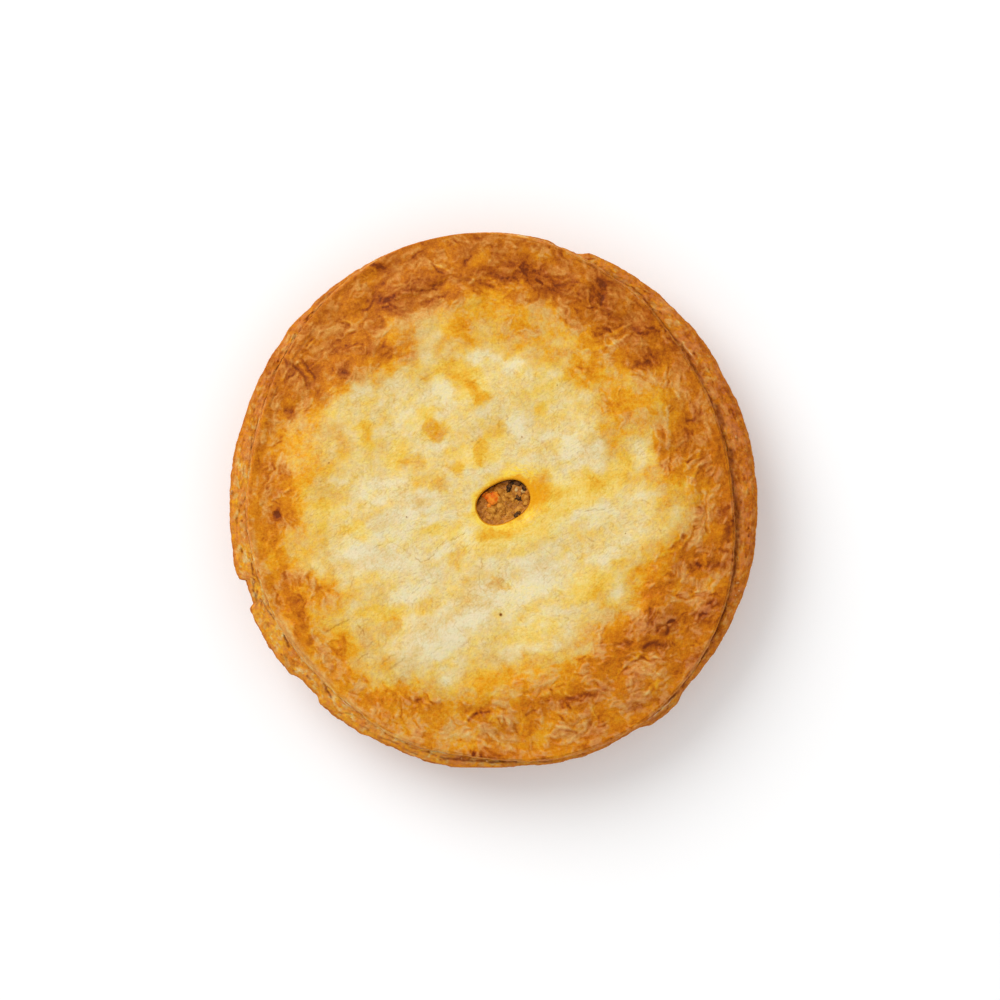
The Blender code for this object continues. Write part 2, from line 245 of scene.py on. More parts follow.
# The foods in the vent: piece, material, dark and light tone, roughness of the surface, size of the
# mottling, and how square and how lumpy its pieces are. The first kind lies by a seeded rule
VENT_FOODS = (
    ("turkey_crumbs", "turkey", (168, 102, 26), (206, 144, 54), 0.45, 2.0, 0.85, 0.32),
    ("carrot_dice", "carrot", (216, 90, 6), (228, 142, 38), 0.4, 2.6, 0.65, 0.22),
    ("mushroom_bits", "mushroom", (40, 24, 10), (112, 72, 36), 0.3, 1.2, 0.8, 0.42),
    ("onion_bits", "onion", (190, 146, 80), (212, 176, 112), 0.3, 1.0, 0.8, 0.12),
)
TURKEY_CRUMBS = 44
TURKEY_SEED = 7
TURKEY_LENGTH = (2.6, 5.6)
TURKEY_OVAL = (10.6, 7.3)

# Where the other kinds lie: place along and across the vent, height, size, turn and tilt
CARROT = (
    (-2.9, 3.3, 0.1, (5.6, 4.8, 2.4), 20, 8),
    (-4.2, 4.9, 0.0, (3.8, 3.0, 2.2), -25, 6),
    (-5.9, 1.3, -0.1, (2.8, 1.8, 1.8), 50, 0),
    (-1.4, 4.6, -0.1, (2.4, 2.2, 1.8), 60, 15),
    (-5.4, 6.4, -0.2, (3.0, 1.6, 1.6), 10, 0),
)
MUSHROOM = (
    (5.6, 4.9, -0.6, (5.2, 2.6, 2.4), 40, 10),
    (9.0, 4.6, -0.6, (5.0, 2.2, 2.0), -35, 0),
    (10.8, 1.7, -0.5, (1.8, 3.4, 2.0), -10, 0),
    (7.0, -1.7, -0.65, (3.6, 2.4, 2.2), -40, 15),
    (8.6, -0.2, -0.85, (3.8, 1.1, 1.6), 30, 0),
    (5.6, -3.4, -0.85, (2.2, 1.5, 1.6), -50, 0),
    (2.9, -7.3, -0.2, (3.2, 1.8, 1.8), 10, 0),
)
ONION = (
    (7.9, 2.4, -0.5, (3.0, 1.8, 1.4), 30, 10),
    (9.8, 0.2, -0.5, (2.4, 1.6, 1.4), -35, 0),
    (8.4, -2.6, -0.6, (2.8, 1.4, 1.4), 20, 0),
    (-1.3, -6.0, -0.5, (2.0, 1.4, 1.2), 10, 0),
    (-8.6, -2.4, -0.5, (2.0, 1.4, 1.2), 10, 0),
    (1.5, -1.8, -0.6, (1.9, 1.4, 1.2), 50, 0),
)

# Loose crumbs and flakes on the rim: direction, distance out from the lid's edge, size, turn, tilt
CRUMBS = (
    (263.4, 1.4, (1.2, 0.8, 0.6), 20, 0),
    (269.0, 0.9, (1.0, 0.8, 0.6), 60, 0),
    (341.5, 3.0, (1.5, 0.9, 0.4), 30, 0),
    (340.0, 4.4, (1.1, 0.8, 0.4), 70, 0),
    (342.6, 2.2, (0.9, 0.6, 0.3), 10, 0),
    (338.8, 3.4, (0.8, 0.6, 0.3), 0, 0),
    (178.2, 7.4, (2.4, 1.1, 0.6), 80, 10),
    (199.0, 3.2, (1.6, 0.9, 0.5), 60, 15),
    (203.4, 3.4, (1.4, 0.9, 0.5), 120, -10),
    (14.5, 5.6, (1.8, 0.8, 0.4), 80, 8),
)
# How high a crumb's middle is over the rim, as a share of its height
CRUMB_STAND = 0.15

# The photograph's view: lens and sensor, how wide a view the picture takes in at the rim, and
# where the middle of the pie lies in the 1000 pixel frame
LENS = 85
SENSOR = 36
PIXELS = 1000
MM_PER_PIXEL = 0.4307
PIE_PIXEL = (491.5, 500.5)

# The light, in metres and watts: a soft round window, an even sky and a near-white floor
WINDOW_PLACE = (-1.5, 1.6, 1.9)
WINDOW_SIZE = 2.2
WINDOW_POWER = 50.0
SKY_STRENGTH = 0.79
FLOOR_HALF = 6.0
FLOOR_WHITE = (0.95, 0.95, 0.95, 1.0)

# Where the crust turns from cream to gold, and from gold to brown: direction and both distances
BROWNING_EDGES = (
    (0, 72, 88), (10, 58, 71), (20, 53, 73), (30, 55, 84), (40, 58, 83), (50, 62, 74), (60, 66, 81),
    (70, 68, 86), (90, 66, 90), (100, 64, 89), (110, 64, 85), (120, 64, 68), (130, 67, 75),
    (140, 73, 79), (150, 78, 86), (160, 66, 98), (170, 68, 88), (180, 74, 86), (190, 76, 90),
    (200, 78, 87), (208, 68, 74), (220, 72, 90), (230, 74, 92), (240, 79, 92), (250, 78, 86),
    (260, 72, 88), (270, 62, 83), (280, 64, 82), (290, 67, 78), (300, 69, 78), (310, 64, 73),
    (320, 56, 74), (330, 57, 73), (340, 62, 78), (350, 72, 85),
)

# How brown the ring is beyond that edge, 0 cream to 1 dark brown: direction and browning
RING_BROWN = (
    (0, 0.62), (30, 0.60), (60, 0.65), (90, 0.67), (120, 0.66), (150, 0.66), (175, 0.57), (210, 0.47),
    (240, 0.47), (270, 0.44), (300, 0.53), (330, 0.60),
)
MIDDLE_BROWN = 0.09
GOLD_BROWN = 0.25
ORANGE_BROWN = 0.34

# The same for the case's rim, beyond the lid
RIM_BROWN = (
    (0, 0.70), (30, 0.70), (60, 0.58), (90, 0.40), (120, 0.56), (150, 0.64), (180, 0.48), (210, 0.42),
    (240, 0.43), (270, 0.50), (300, 0.56), (330, 0.62),
)

# Patches of the crust as they lie: x, y, half length, half width, turn, change of browning, above 0
# for a dark mark and below 0 for a light place. First the browned ring's
RING_PATCHES = (
    (0, 96, 9, 3.5, 5, 0.16), (17, 97, 11, 4, -28, 0.26), (-33, 92, 9, 3, 20, 0.12),
    (-45, 85, 4, 4, -30, 0.20), (-65, 65, 6, 3, 0, 0.14), (-46, 63, 11, 2.5, -10, 0.12),
    (-63, 55, 4, 3, 30, 0.14), (-76, 52, 4, 11, 20, 0.10), (-87, 38, 3, 3, 0, 0.18),
    (-92, -6, 2.2, 2.8, 0, 0.34), (-95, 3, 5, 9, 0, 0.10), (-86, -44, 5, 9, 15, 0.13),
    (-80, -34, 9, 4, -10, 0.10), (-58, -64, 5, 9, 30, 0.10), (-32, -85, 10, 5, 0, 0.12),
    (-6, -90, 7, 1.6, 0, 0.26), (20, -88, 15, 5, 8, 0.10), (40, -84, 9, 3, 12, 0.18),
    (56, -70, 12, 8, 40, 0.07), (73, -53, 5, 6, 40, 0.18), (68, -62, 4, 3, 0, 0.14),
    (93, -46, 5, 2.4, 20, 0.18), (87, -28, 3, 3, 0, 0.18), (80, -22, 6, 9, -20, 0.08),
    (84, 28, 2.4, 3, 0, 0.16), (88, 37, 3.5, 4, 0, 0.18), (78, 64, 3, 8, 30, 0.14),
    (68, 60, 6, 3, 5, 0.22), (66, 74, 4, 3, 0, 0.18), (48, 92, 5, 6, 0, 0.22), (51, 80, 4, 6, 10, 0.20),
    (32, 92, 6, 6, 0, 0.12), (20, 105, 4, 3.5, 0, -0.20), (-5, 104, 5, 3, 0, -0.16),
    (-22, 102, 4, 4, 0, -0.08), (-68, 72, 5, 3, 40, -0.12), (-56, 78, 8, 3, 45, -0.08),
    (-84, 20, 6, 12, 0, -0.05), (-15, -100, 6, 6, 0, -0.12), (22, -100, 3, 8, 0, -0.15),
    (-40, -95, 9, 4, -20, -0.06), (95, -36, 6, 3.5, 10, -0.18), (84, 10, 5, 4, 0, -0.14),
    (62, -84, 6, 4, 40, -0.08), (80, 45, 4, 7, 20, -0.08), (-36, 72, 14, 7, 8, -0.34),
    (-12, 83, 14, 3, 25, -0.10), (20, 78, 15, 5, -8, -0.12), (52, 61, 8, 5, -50, -0.12),
    (68, 48, 8, 7, 20, -0.14), (65, 20, 6, 9, 20, -0.27), (76, 33, 4, 8, 0, -0.14),
    (49, 30, 7, 6, -40, -0.15), (79, -6, 9, 4, 0, -0.11), (80, -25, 10, 5, -15, -0.08),
    (55, -40, 7, 9, 10, -0.23), (78, -40, 4, 5, 0, -0.10), (15, -64, 8, 3, 15, -0.11),
    (31, -60, 7, 3, 20, -0.11), (-18, -74, 7, 7, 0, -0.17), (-40, -74, 12, 4, 10, -0.14),
    (-54, -69, 6, 9, 20, -0.18), (-64, -50, 10, 6, 20, -0.16), (-74, -51, 4, 6, -10, -0.16),
    (-71, -33, 7, 5, 0, -0.13), (-85, -19, 6, 7, 20, -0.13), (-74, 24, 6, 8, 50, -0.12),
    (-95, 25, 4, 9, 0, -0.09), (-98, 2, 5, 6, 30, -0.14), (-48, 51, 5, 5, 30, -0.08),
    (-73, 41, 3, 6, 0, -0.07), (-52, 96, 3, 8, 0, -0.08), (14, -89, 6, 3, 0, -0.09),
    (53, -75, 4, 3, 0, -0.10), (30, -77, 7, 3, 0, -0.07), (-38, -87, 4, 3, 0, -0.07),
    (-62, 49, 8, 4, 30, 0.14), (-62, 59, 5, 4, 0, -0.10), (-71, 66, 3, 4, 0, -0.07),
    (-40, 58, 6, 3.5, 0, 0.15), (-25, 88, 8, 5, 30, 0.11), (-3, 91, 8, 4, 10, 0.18),
    (5, 84, 8, 4, 30, -0.10), (17, 88, 8, 4, 10, 0.18), (28, 105, 3, 3, 0, 0.16),
    (-17, 106, 4, 5, 0, -0.12), (31, 85, 4, 4, 0, 0.10), (43, 85, 3, 8, 10, 0.12),
    (-44, 85, 5, 7, 20, 0.10), (46, 71, 7, 3, 0, 0.12), (65, 76, 4, 9, -30, 0.12),
    (75, 66, 6, 3, -20, 0.06), (87, 45, 3, 6, 10, 0.08), (94, 28, 2.5, 9, 0, 0.07),
    (-88, 11, 3, 6, 0, 0.13), (-79, 28, 6, 4, -20, 0.13), (-84, 43, 6, 3, -10, 0.12),
    (-82, 4, 3, 3, 0, -0.12), (-87, -7, 4, 6, 0, 0.17), (-95, -16, 4, 4, 0, 0.08),
    (-81, -53, 4, 7, 20, 0.12), (-65, -62, 4, 4, 0, 0.07), (-28, -83, 4, 4, 0, 0.09),
    (-8, -96, 7, 4, -20, 0.08), (9, -75, 8, 4, -40, 0.07), (50, -56, 8, 4, 30, 0.06),
    (39, -68, 3, 6, 0, 0.12), (64, -55, 3, 6, 0, 0.07), (85, -69, 6, 5, 50, 0.15),
    (94, -49, 5, 6, 0, 0.12), (62, -84, 5, 7, 0, 0.14), (42, -104, 7, 4, 20, 0.16),
    (35, -97, 5, 3, 0, 0.06), (71, 5, 4, 4, 0, 0.12), (81, 15, 4, 4, 0, -0.14), (87, 5, 5, 4, 0, -0.12),
    (101, -7, 4, 6, 0, 0.14), (101, -25, 3, 4, 0, 0.13), (94, -17, 3, 4, 0, -0.08),
    (98, 10, 3, 5, 0, 0.08), (84, -8, 8, 4, -10, -0.10), (74, -78, 4, 3, 0, -0.14),
    (66, -68, 4, 6, 20, -0.12), (-2, -83, 5, 3, 0, -0.12), (4, -69, 11, 3, 10, -0.10),
    (-17, -83, 5, 5, 50, -0.10), (-96, 19, 3, 5, 0, -0.06), (-97, -29, 3, 6, -20, -0.14),
    (-66, -62, 5, 5, 0, 0.10), (-45, -84, 6, 4, 0, 0.09), (-46, -94, 6, 4, 0, 0.10),
    (0, -109, 14, 3, 0, 0.22), (-7, -109, 6, 2, 0, 0.10), (78, -41, 9, 3, 0, -0.08),
)

# The gold and cream of the pale middle
MIDDLE_PATCHES = (
    (2, 79, 36, 7, 0, 0.05), (-12, 70, 5, 7, 20, 0.07), (15, 70, 10, 6, -10, 0.08),
    (-32, 72, 9, 6, 20, 0.08), (52, 38, 8, 12, 0, 0.10), (37, 52, 6, 7, -30, 0.09),
    (-5, 46, 6.5, 3.2, -38, 0.13), (-24, 31, 5, 5, 0, 0.14), (20, 38, 3, 4, 0, 0.06),
    (-4, 21, 3, 6, 10, 0.11), (-64, 26, 4, 6, 0, 0.04), (-53, 29, 3, 5, 0, 0.08),
    (-78, 20, 7, 11, 0, 0.05), (-33, 16, 5, 3, 0, 0.11), (-16, 15, 3, 3, 0, 0.08),
    (-22, 7, 5, 2.5, 0, 0.10), (21, 3, 4, 9, -15, 0.12), (50, 28, 4, 6, 0, 0.10),
    (1, -13, 8, 3, 5, 0.12), (-30, -2, 3, 6, 35, 0.08), (-83, -12, 5, 10, 0, 0.05),
    (-15, -22, 4, 7, 0, 0.09), (3, -36, 4, 4, 0, 0.13), (48, -38, 6, 4, 40, 0.05),
    (-62, -44, 4, 4, 0, 0.06), (-42, -54, 5, 4, 40, 0.10), (-28, -45, 5, 3, 30, 0.07),
    (12, -66, 12, 3, 15, 0.03), (8, 31, 4, 4, 0, -0.09), (33, 23, 5, 6, 0, -0.09),
    (-39, 38, 5, 6, 0, -0.07), (-21, 47, 5, 5, 0, -0.09), (10, 58, 5, 4, 0, -0.07),
    (-5, 62, 6, 3, 0, -0.06), (-48, 3, 8, 5, 0, -0.07), (-40, -13, 14, 5, 25, -0.06),
    (-62, -20, 7, 5, 0, -0.08), (18, -36, 13, 6, 15, -0.09), (-35, -38, 10, 4, 25, -0.06),
    (-12, -52, 10, 4, 30, -0.06), (-22, -63, 8, 4, 25, -0.06), (40, -8, 12, 6, 20, -0.05),
    (15, 9, 6, 7, 0, 0.05), (22, 60, 9, 6, 10, 0.07), (-16, 51, 9, 5, -10, 0.07),
    (-42, 39, 8, 5, 0, 0.06), (14, 41, 3, 5, 0, 0.06), (0, 30, 7, 5, 0, 0.06), (-50, 26, 5, 5, 0, 0.06),
    (-68, 1, 8, 5, 0, 0.07), (-65, 14, 5, 5, 0, 0.06), (27, 3, 4, 5, 0, 0.06),
    (39, -12, 4, 5, 20, 0.06), (-52, -41, 7, 4, 0, 0.06), (-14, -18, 11, 5, 35, -0.06),
    (-40, -27, 14, 4, 5, -0.04), (64, 42, 4, 8, 0, 0.05), (43, 50, 5, 5, 0, 0.08),
    (12, -9, 4, 3, 0, 0.06), (43, 7, 5, 4, 0, 0.08), (28, 22, 5, 4, -20, 0.05),
    (-12, 27, 5, 4, 20, 0.05), (-38, 22, 3, 11, 10, 0.05), (-30, 11, 5, 4, 0, 0.05),
    (-45, 3, 6, 4, 0, 0.05), (-65, -19, 7, 8, 0, 0.06), (-43, -37, 9, 3, 5, 0.05),
    (-10, -39, 6, 5, -20, 0.05), (10, 63, 9, 4, -10, 0.08), (33, 60, 8, 4, -30, 0.07),
    (-14, 57, 8, 7, 0, 0.05), (-27, -5, 10, 4, 5, -0.06), (6, -46, 6, 7, 0, -0.05),
    (48, -24, 7, 3, 20, -0.04),
)

# Where the crust is creamier and greyer than its browning alone makes it (above 0), or yellower and
# stronger (below 0): x, y, half length, half width, turn, change of the cream tint
CREAM_PATCHES = (
    (-34, 78, 8, 12, -20, 0.6), (-30, 65, 8, 5, 20, 0.3), (-68, 76, 7, 6, 0, 0.45),
    (-10, 107, 6, 4, 0, 0.6), (-40, 100, 5, 6, 0, 0.3), (22, 84, 6, 10, 0, 0.35),
    (36, 76, 7, 5, 0, 0.3), (50, 92, 10, 6, -40, 0.6), (60, 76, 4, 4, 0, 0.6), (64, 68, 3, 4, 0, 0.5),
    (-86, 55, 3, 5, 0, 0.6), (-94, 30, 3, 6, 0, 0.6), (-68, 30, 6, 4, 0, 0.4), (-56, 50, 6, 4, 10, 0.4),
    (-42, 50, 5, 3, 0, 0.4), (15, 30, 4, 9, -20, 0.35), (43, 22, 8, 5, 0, 0.35), (81, 44, 3, 5, 0, 0.6),
    (82, 25, 3, 4, 0, 0.5), (87, -11, 6, 9, 0, 0.45), (-33, -1, 9, 7, 0, 0.35),
    (-45, -8, 7, 4, 40, 0.3), (-48, -25, 13, 5, -10, 0.5), (-62, -27, 8, 4, 20, 0.3),
    (-28, -30, 8, 4, 0, 0.3), (-4, -40, 8, 12, -35, 0.5), (-22, -56, 18, 7, 25, 0.5),
    (-36, -70, 5, 7, 0, 0.5), (20, -30, 8, 6, 0, 0.5), (73, -52, 9, 4, 0, 0.5),
    (50, -50, 8, 4, 20, 0.3), (35, -58, 6, 7, 0, 0.3), (5, -66, 7, 3, 20, 0.4),
    (62, -83, 6, 4, 20, 0.4), (35, -97, 6, 5, 30, 0.5), (5, -100, 9, 8, 0, 0.35),
    (-22, -98, 8, 5, 0, 0.35), (-53, -60, 3, 6, 0, 0.4), (92, -65, 4, 5, 0, 0.7),
    (1, 91, 4, 4, 0, -0.7), (-47, 87, 4, 5, 0, -0.6), (-15, 73, 5, 6, 0, -0.6),
    (-55, 68, 5, 4, 0, -0.4), (24, 93, 7, 3, -30, -0.4), (70, 59, 5, 4, 0, -0.6),
    (-75, 57, 6, 5, 0, -0.4), (-8, 50, 8, 7, -50, -0.6), (-20, 55, 8, 4, 0, -0.3),
    (22, 45, 6, 12, -20, -0.4), (40, 53, 8, 4, 0, -0.3), (55, 43, 5, 6, 0, -0.6),
    (-30, 35, 7, 5, 20, -0.4), (-54, 28, 4, 6, 0, -0.5), (-40, 20, 4, 7, -20, -0.5),
    (-5, 20, 12, 5, 20, -0.5), (-85, 5, 6, 8, 0, -0.5), (-70, -5, 8, 6, 0, -0.35),
    (-56, -13, 5, 5, 0, -0.45), (-22, -13, 12, 4, 0, -0.4), (-95, -20, 4, 8, 0, -0.6),
    (-84, -45, 6, 12, 0, -0.8), (-64, -60, 5, 7, 0, -0.7), (-47, -48, 8, 4, 0, -0.35),
    (42, -35, 12, 6, 20, -0.5), (69, -34, 5, 9, 0, -0.6), (16, -55, 12, 6, 30, -0.4),
    (88, -27, 6, 5, 20, -0.4), (70, -62, 15, 4, 0, -0.4), (52, -68, 8, 4, 30, -0.5),
    (30, -80, 14, 4, 10, -0.5), (0, -76, 12, 4, 0, -0.35), (-45, -85, 5, 8, 0, -0.5),
    (-28, -85, 5, 4, 0, -0.5), (65, -92, 8, 4, 30, -0.6), (96, 18, 3, 8, 0, -0.6),
    (78, 12, 5, 7, 0, -0.4), (55, 15, 5, 8, 0, -0.35), (36, 4, 18, 6, 10, -0.9),
    (26, -6, 6, 8, 0, -0.6), (8, -15, 18, 5, 10, -0.8),
)

# Pale raised folds of the browned ring: both ends, bend to the left, half width, strength.
# From the top clockwise
RAISED_LINES = (
    (-25, 101, -16, 96, 0.6, 0.6, 1.0), (-16, 96, -24, 91.5, -0.6, 0.55, 0.9),
    (-15, 94, -35, 84.5, 2.0, 1.2, 0.6), (-31, 98, -35, 101, 0.3, 0.6, 0.5),
    (2, 86, 10, 91, -0.5, 0.5, 0.8), (8, 96, 12.5, 101.5, 0.4, 0.6, 0.8),
    (-10, 92, -5, 95, 0.4, 0.6, 0.6), (-14, 104, -6, 102, 0.8, 1.3, 0.5),
    (12, 92, 15, 96, 0.0, 0.9, 0.6), (5, 69, 14, 72, 0.5, 0.5, 0.4), (24, 84, 27, 88, 0.3, 0.7, 0.5),
    (37, 94, 35, 85, 0.5, 0.6, 0.6), (42, 92, 43, 81, -1.2, 0.7, 0.9), (48, 87, 51, 83, 0.5, 0.6, 0.6),
    (47, 70.5, 60, 77, -1.6, 0.8, 1.0), (40, 64, 62, 74, -2.2, 0.9, 1.0),
    (38, 62, 45, 66, 0.4, 0.8, 0.7), (64, 71, 63.5, 65, 0.3, 0.6, 0.7), (70, 66, 74, 64, 0.5, 0.7, 0.6),
    (71, 62, 76, 57, 0.3, 0.5, 0.6), (73, 58, 78, 53, 0.3, 0.5, 0.5), (78, 48, 82, 38, 0.8, 0.8, 0.8),
    (83, 47, 84, 41, -0.5, 0.7, 0.6), (84, 40, 86, 34.5, 0.5, 1.1, 0.8),
    (92, 34, 94, 28, 0.3, 0.8, 0.5), (77, 20, 84, 29, 0.8, 1.2, 0.6), (82, 14, 84, 20, 0.3, 1.3, 0.6),
    (88, 17, 90, 22, 0.3, 0.8, 0.7), (85, 9, 90, 16.5, 0.3, 0.7, 1.0),
    (91, 12, 96, 14.5, 0.5, 0.7, 0.7), (82, 6, 92, 7, 0.6, 0.9, 0.5), (92, -4, 99, -2, 0.6, 0.7, 0.6),
    (88, -6, 89, -17, 0.6, 0.8, 0.6), (82, -12, 75, -20, 0.4, 0.6, 0.9),
    (85, -14, 79, -21, 0.6, 0.6, 0.9), (69, -25, 80, -20.5, 0.5, 0.5, 0.8),
    (91, -22, 92, -28, 0.0, 0.7, 0.8), (80, -36, 85, -29, 0.4, 0.7, 0.8),
    (84, -41, 97, -39, 1.0, 0.6, 0.8), (86, -44, 92, -48, 0.5, 0.5, 0.7),
    (70, -45, 68, -52, 0.4, 0.7, 0.7), (86, -65, 90, -60, 0.3, 1.1, 0.5),
    (49, -52, 56, -58, 0.8, 1.3, 0.5), (45, -55, 46, -62, 0.4, 0.6, 0.7),
    (42, -57, 43, -66, 0.4, 0.5, 0.7), (53, -74, 58, -70, 0.3, 0.7, 0.9),
    (58, -70, 65, -64.5, 0.4, 0.8, 1.0), (65, -65, 73, -68, 0.5, 0.6, 0.7),
    (66, -71, 73, -76, 0.8, 0.6, 0.9), (72, -76, 70, -82, -0.6, 0.7, 0.8),
    (69, -79, 64, -84, 0.3, 0.6, 0.9), (60, -74, 58, -82, 0.5, 0.7, 0.7),
    (63, -75, 66, -79, 0.3, 0.5, 0.6), (52, -76, 55, -73, 0.2, 0.6, 0.6),
    (42, -88, 45, -97, 0.9, 0.6, 0.8), (33, -87, 41, -97, 0.6, 0.5, 0.8),
    (30, -89, 36, -95, 0.4, 0.5, 0.8), (27, -96, 38, -99, 0.5, 0.7, 0.7),
    (22, -91, 28, -93, 0.6, 1.1, 0.5), (13, -94, 12, -101, 0.4, 0.6, 0.6),
    (7, -92, 8, -98, 0.3, 0.5, 0.6), (4, -90, 4.5, -96, 0.3, 0.5, 0.6),
    (1, -91, -2, -95, 0.4, 0.45, 0.7), (-3, -98, 0, -101, 0.4, 0.45, 0.6),
    (1, -99, 3, -105, 0.4, 0.5, 0.5), (6, -103, 9, -106, 0.3, 0.5, 0.5),
    (-2, -85, 6, -79, 0.5, 0.5, 0.8), (-5.5, -84, -1, -81, 0.3, 0.45, 0.7),
    (-12, -96, -5, -88.5, 0.7, 0.7, 0.8), (-12, -101, -8, -99, 0.4, 0.5, 0.5),
    (-8, -103, -5, -99, 0.4, 0.45, 0.5), (-24, -95, -20, -100, 0.5, 1.2, 0.5),
    (-36, -89, -31, -87, 0.4, 0.8, 0.6), (-48, -91, -46, -88, 0.3, 0.7, 0.5),
    (-70, -75, -65.5, -68.5, 0.3, 0.7, 0.8), (-97, -3, -93, -1.5, 0.4, 0.5, 0.6),
    (-95, 0.5, -91, -1, 0.5, 0.45, 0.6), (-100, 12, -94, 16, 0.4, 0.5, 0.6),
    (-91, 44, -89, 38, 0.4, 0.8, 0.6), (-82, 37, -78, 40.5, 0.3, 0.5, 0.7),
    (-90, 50, -85, 58, 0.8, 0.7, 0.9), (-85, 61, -76, 50, 0.6, 0.6, 1.0),
    (-80, 64, -74, 71, 0.3, 0.7, 0.9), (-65, 78, -58.5, 74, 0.5, 0.5, 0.9),
    (-63, 71, -58, 73, 0.4, 1.1, 0.6), (-67, 86, -55, 84, 0.6, 1.1, 0.6),
    (-42, 98, -36, 93, 0.5, 1.0, 0.6),
)

# Dark sunken creases of the ring, drawn the same way. Their dark is browning and painted shade in the
# crease
SUNKEN_LINES = (
    (-26, 102, -20, 96, -0.4, 0.6, 1.0), (-20, 94.5, -26, 91, 0.4, 0.6, 1.0),
    (-26, 90, -40, 90, 0.5, 0.7, 0.8), (-15, 93, -8, 94, 0.4, 0.8, 0.7),
    (0.5, 96.5, 5.5, 94, 0.5, 1.1, 1.0), (9, 96, 13, 91, 0.3, 0.6, 0.7), (0, 112, 0, 99, 0.3, 0.4, 0.4),
    (-11, 106, -11, 99, 0.0, 0.8, 0.5), (45, 96, 48, 91, 0.0, 1.5, 0.7),
    (45, 90, 46, 82, 1.5, 0.8, 0.9), (45.5, 82.5, 52.5, 80, -0.4, 0.7, 1.0),
    (61, 86, 66, 81, 0.3, 0.9, 0.6), (49, 73, 61, 78.5, -1.4, 0.6, 0.6),
    (57, 56, 70, 60, 0.3, 1.2, 0.9), (66, 66, 69, 60, 0.6, 0.9, 0.9),
    (83, 33.5, 88, 34.5, 0.3, 0.8, 1.1), (82, 31, 84, 29, 0.3, 0.8, 0.8),
    (71, 17, 73, 14, 0.3, 0.8, 0.7), (88, -2, 91, -5, 0.3, 0.8, 1.1), (96, -4, 98, -7, 0.5, 0.9, 0.9),
    (101, -9, 101, -19, 0.4, 1.2, 0.9), (97, -21, 102, -22, 0.0, 0.8, 0.9),
    (92, -26.5, 101, -28, 0.0, 1.3, 0.9), (86, -26, 90, -29.5, 0.4, 1.1, 1.0),
    (81, -14, 82, -17, 0.2, 1.1, 0.9), (68, -44, 66, -55, 0.4, 0.7, 0.8),
    (79, -51, 75, -53, -0.4, 0.7, 1.1), (75.5, -52.5, 74, -58, 0.5, 0.9, 1.2),
    (85, -47, 90, -50, 0.3, 1.0, 0.7), (64, -61.5, 78, -62, 0.3, 1.4, 0.9),
    (51, -62, 60, -61, 0.4, 1.2, 0.8), (60, -69, 66, -67.5, 0.3, 0.7, 0.8),
    (58, -89, 66, -89, 0.4, 1.1, 0.7), (30, -85, 46, -83, 0.7, 1.0, 1.0),
    (48, -94, 48.5, -98, 0.0, 0.8, 0.8), (41, -93, 43, -97, 0.3, 0.9, 0.9),
    (31, -98, 37, -100, 0.4, 1.0, 0.8), (14, -92, 20, -89.5, 0.3, 0.8, 0.9),
    (17, -93, 17, -104, 0.0, 0.7, 0.4), (10, -95, 10.5, -100, 0.2, 0.6, 0.8),
    (1, -98, 2, -101, 0.2, 0.4, 0.6), (-4, -96, -2.5, -99, 0.2, 0.4, 0.7),
    (-10, -94.5, -4.5, -90, 0.9, 0.8, 1.2), (-5, -90.2, -0.5, -89.8, 0.2, 0.5, 0.9),
    (-33, -86.5, -28, -83.5, 0.3, 1.0, 0.8), (-69, -73.5, -67.5, -70.5, 0.0, 0.8, 0.9),
    (-75, -56, -79, -62, 0.3, 1.1, 0.8), (-86, -43, -79, -43, 0.0, 0.7, 0.6),
    (-75, -38.5, -72, -37, 0.3, 0.8, 0.8), (-89, -30, -88, -34, 0.0, 0.8, 0.7),
    (-92.5, -4.5, -91, -8, 0.3, 1.0, 1.3), (-94, 0, -91, -1.5, 0.3, 0.35, 0.6),
    (-96, 5.5, -95, 4.5, 0.0, 0.6, 0.9), (-90, 39, -84, 38, 0.4, 1.3, 0.9),
    (-78, 51, -79, 47, 0.2, 1.1, 0.9), (-86.5, 59.5, -78, 49.5, 0.6, 0.5, 1.0),
    (-83, 61.5, -75, 51.5, 0.6, 0.5, 0.9), (-66, 55, -60, 54, 0.2, 1.3, 0.9),
    (-67, 69, -63.5, 68, 0.2, 0.9, 0.9), (-65, 76.5, -60, 74, 0.5, 0.5, 0.8),
    (-48, 80, -46, 72, 0.4, 1.1, 0.6), (-52, 88, -44, 86, 0.5, 1.8, 0.7),
)

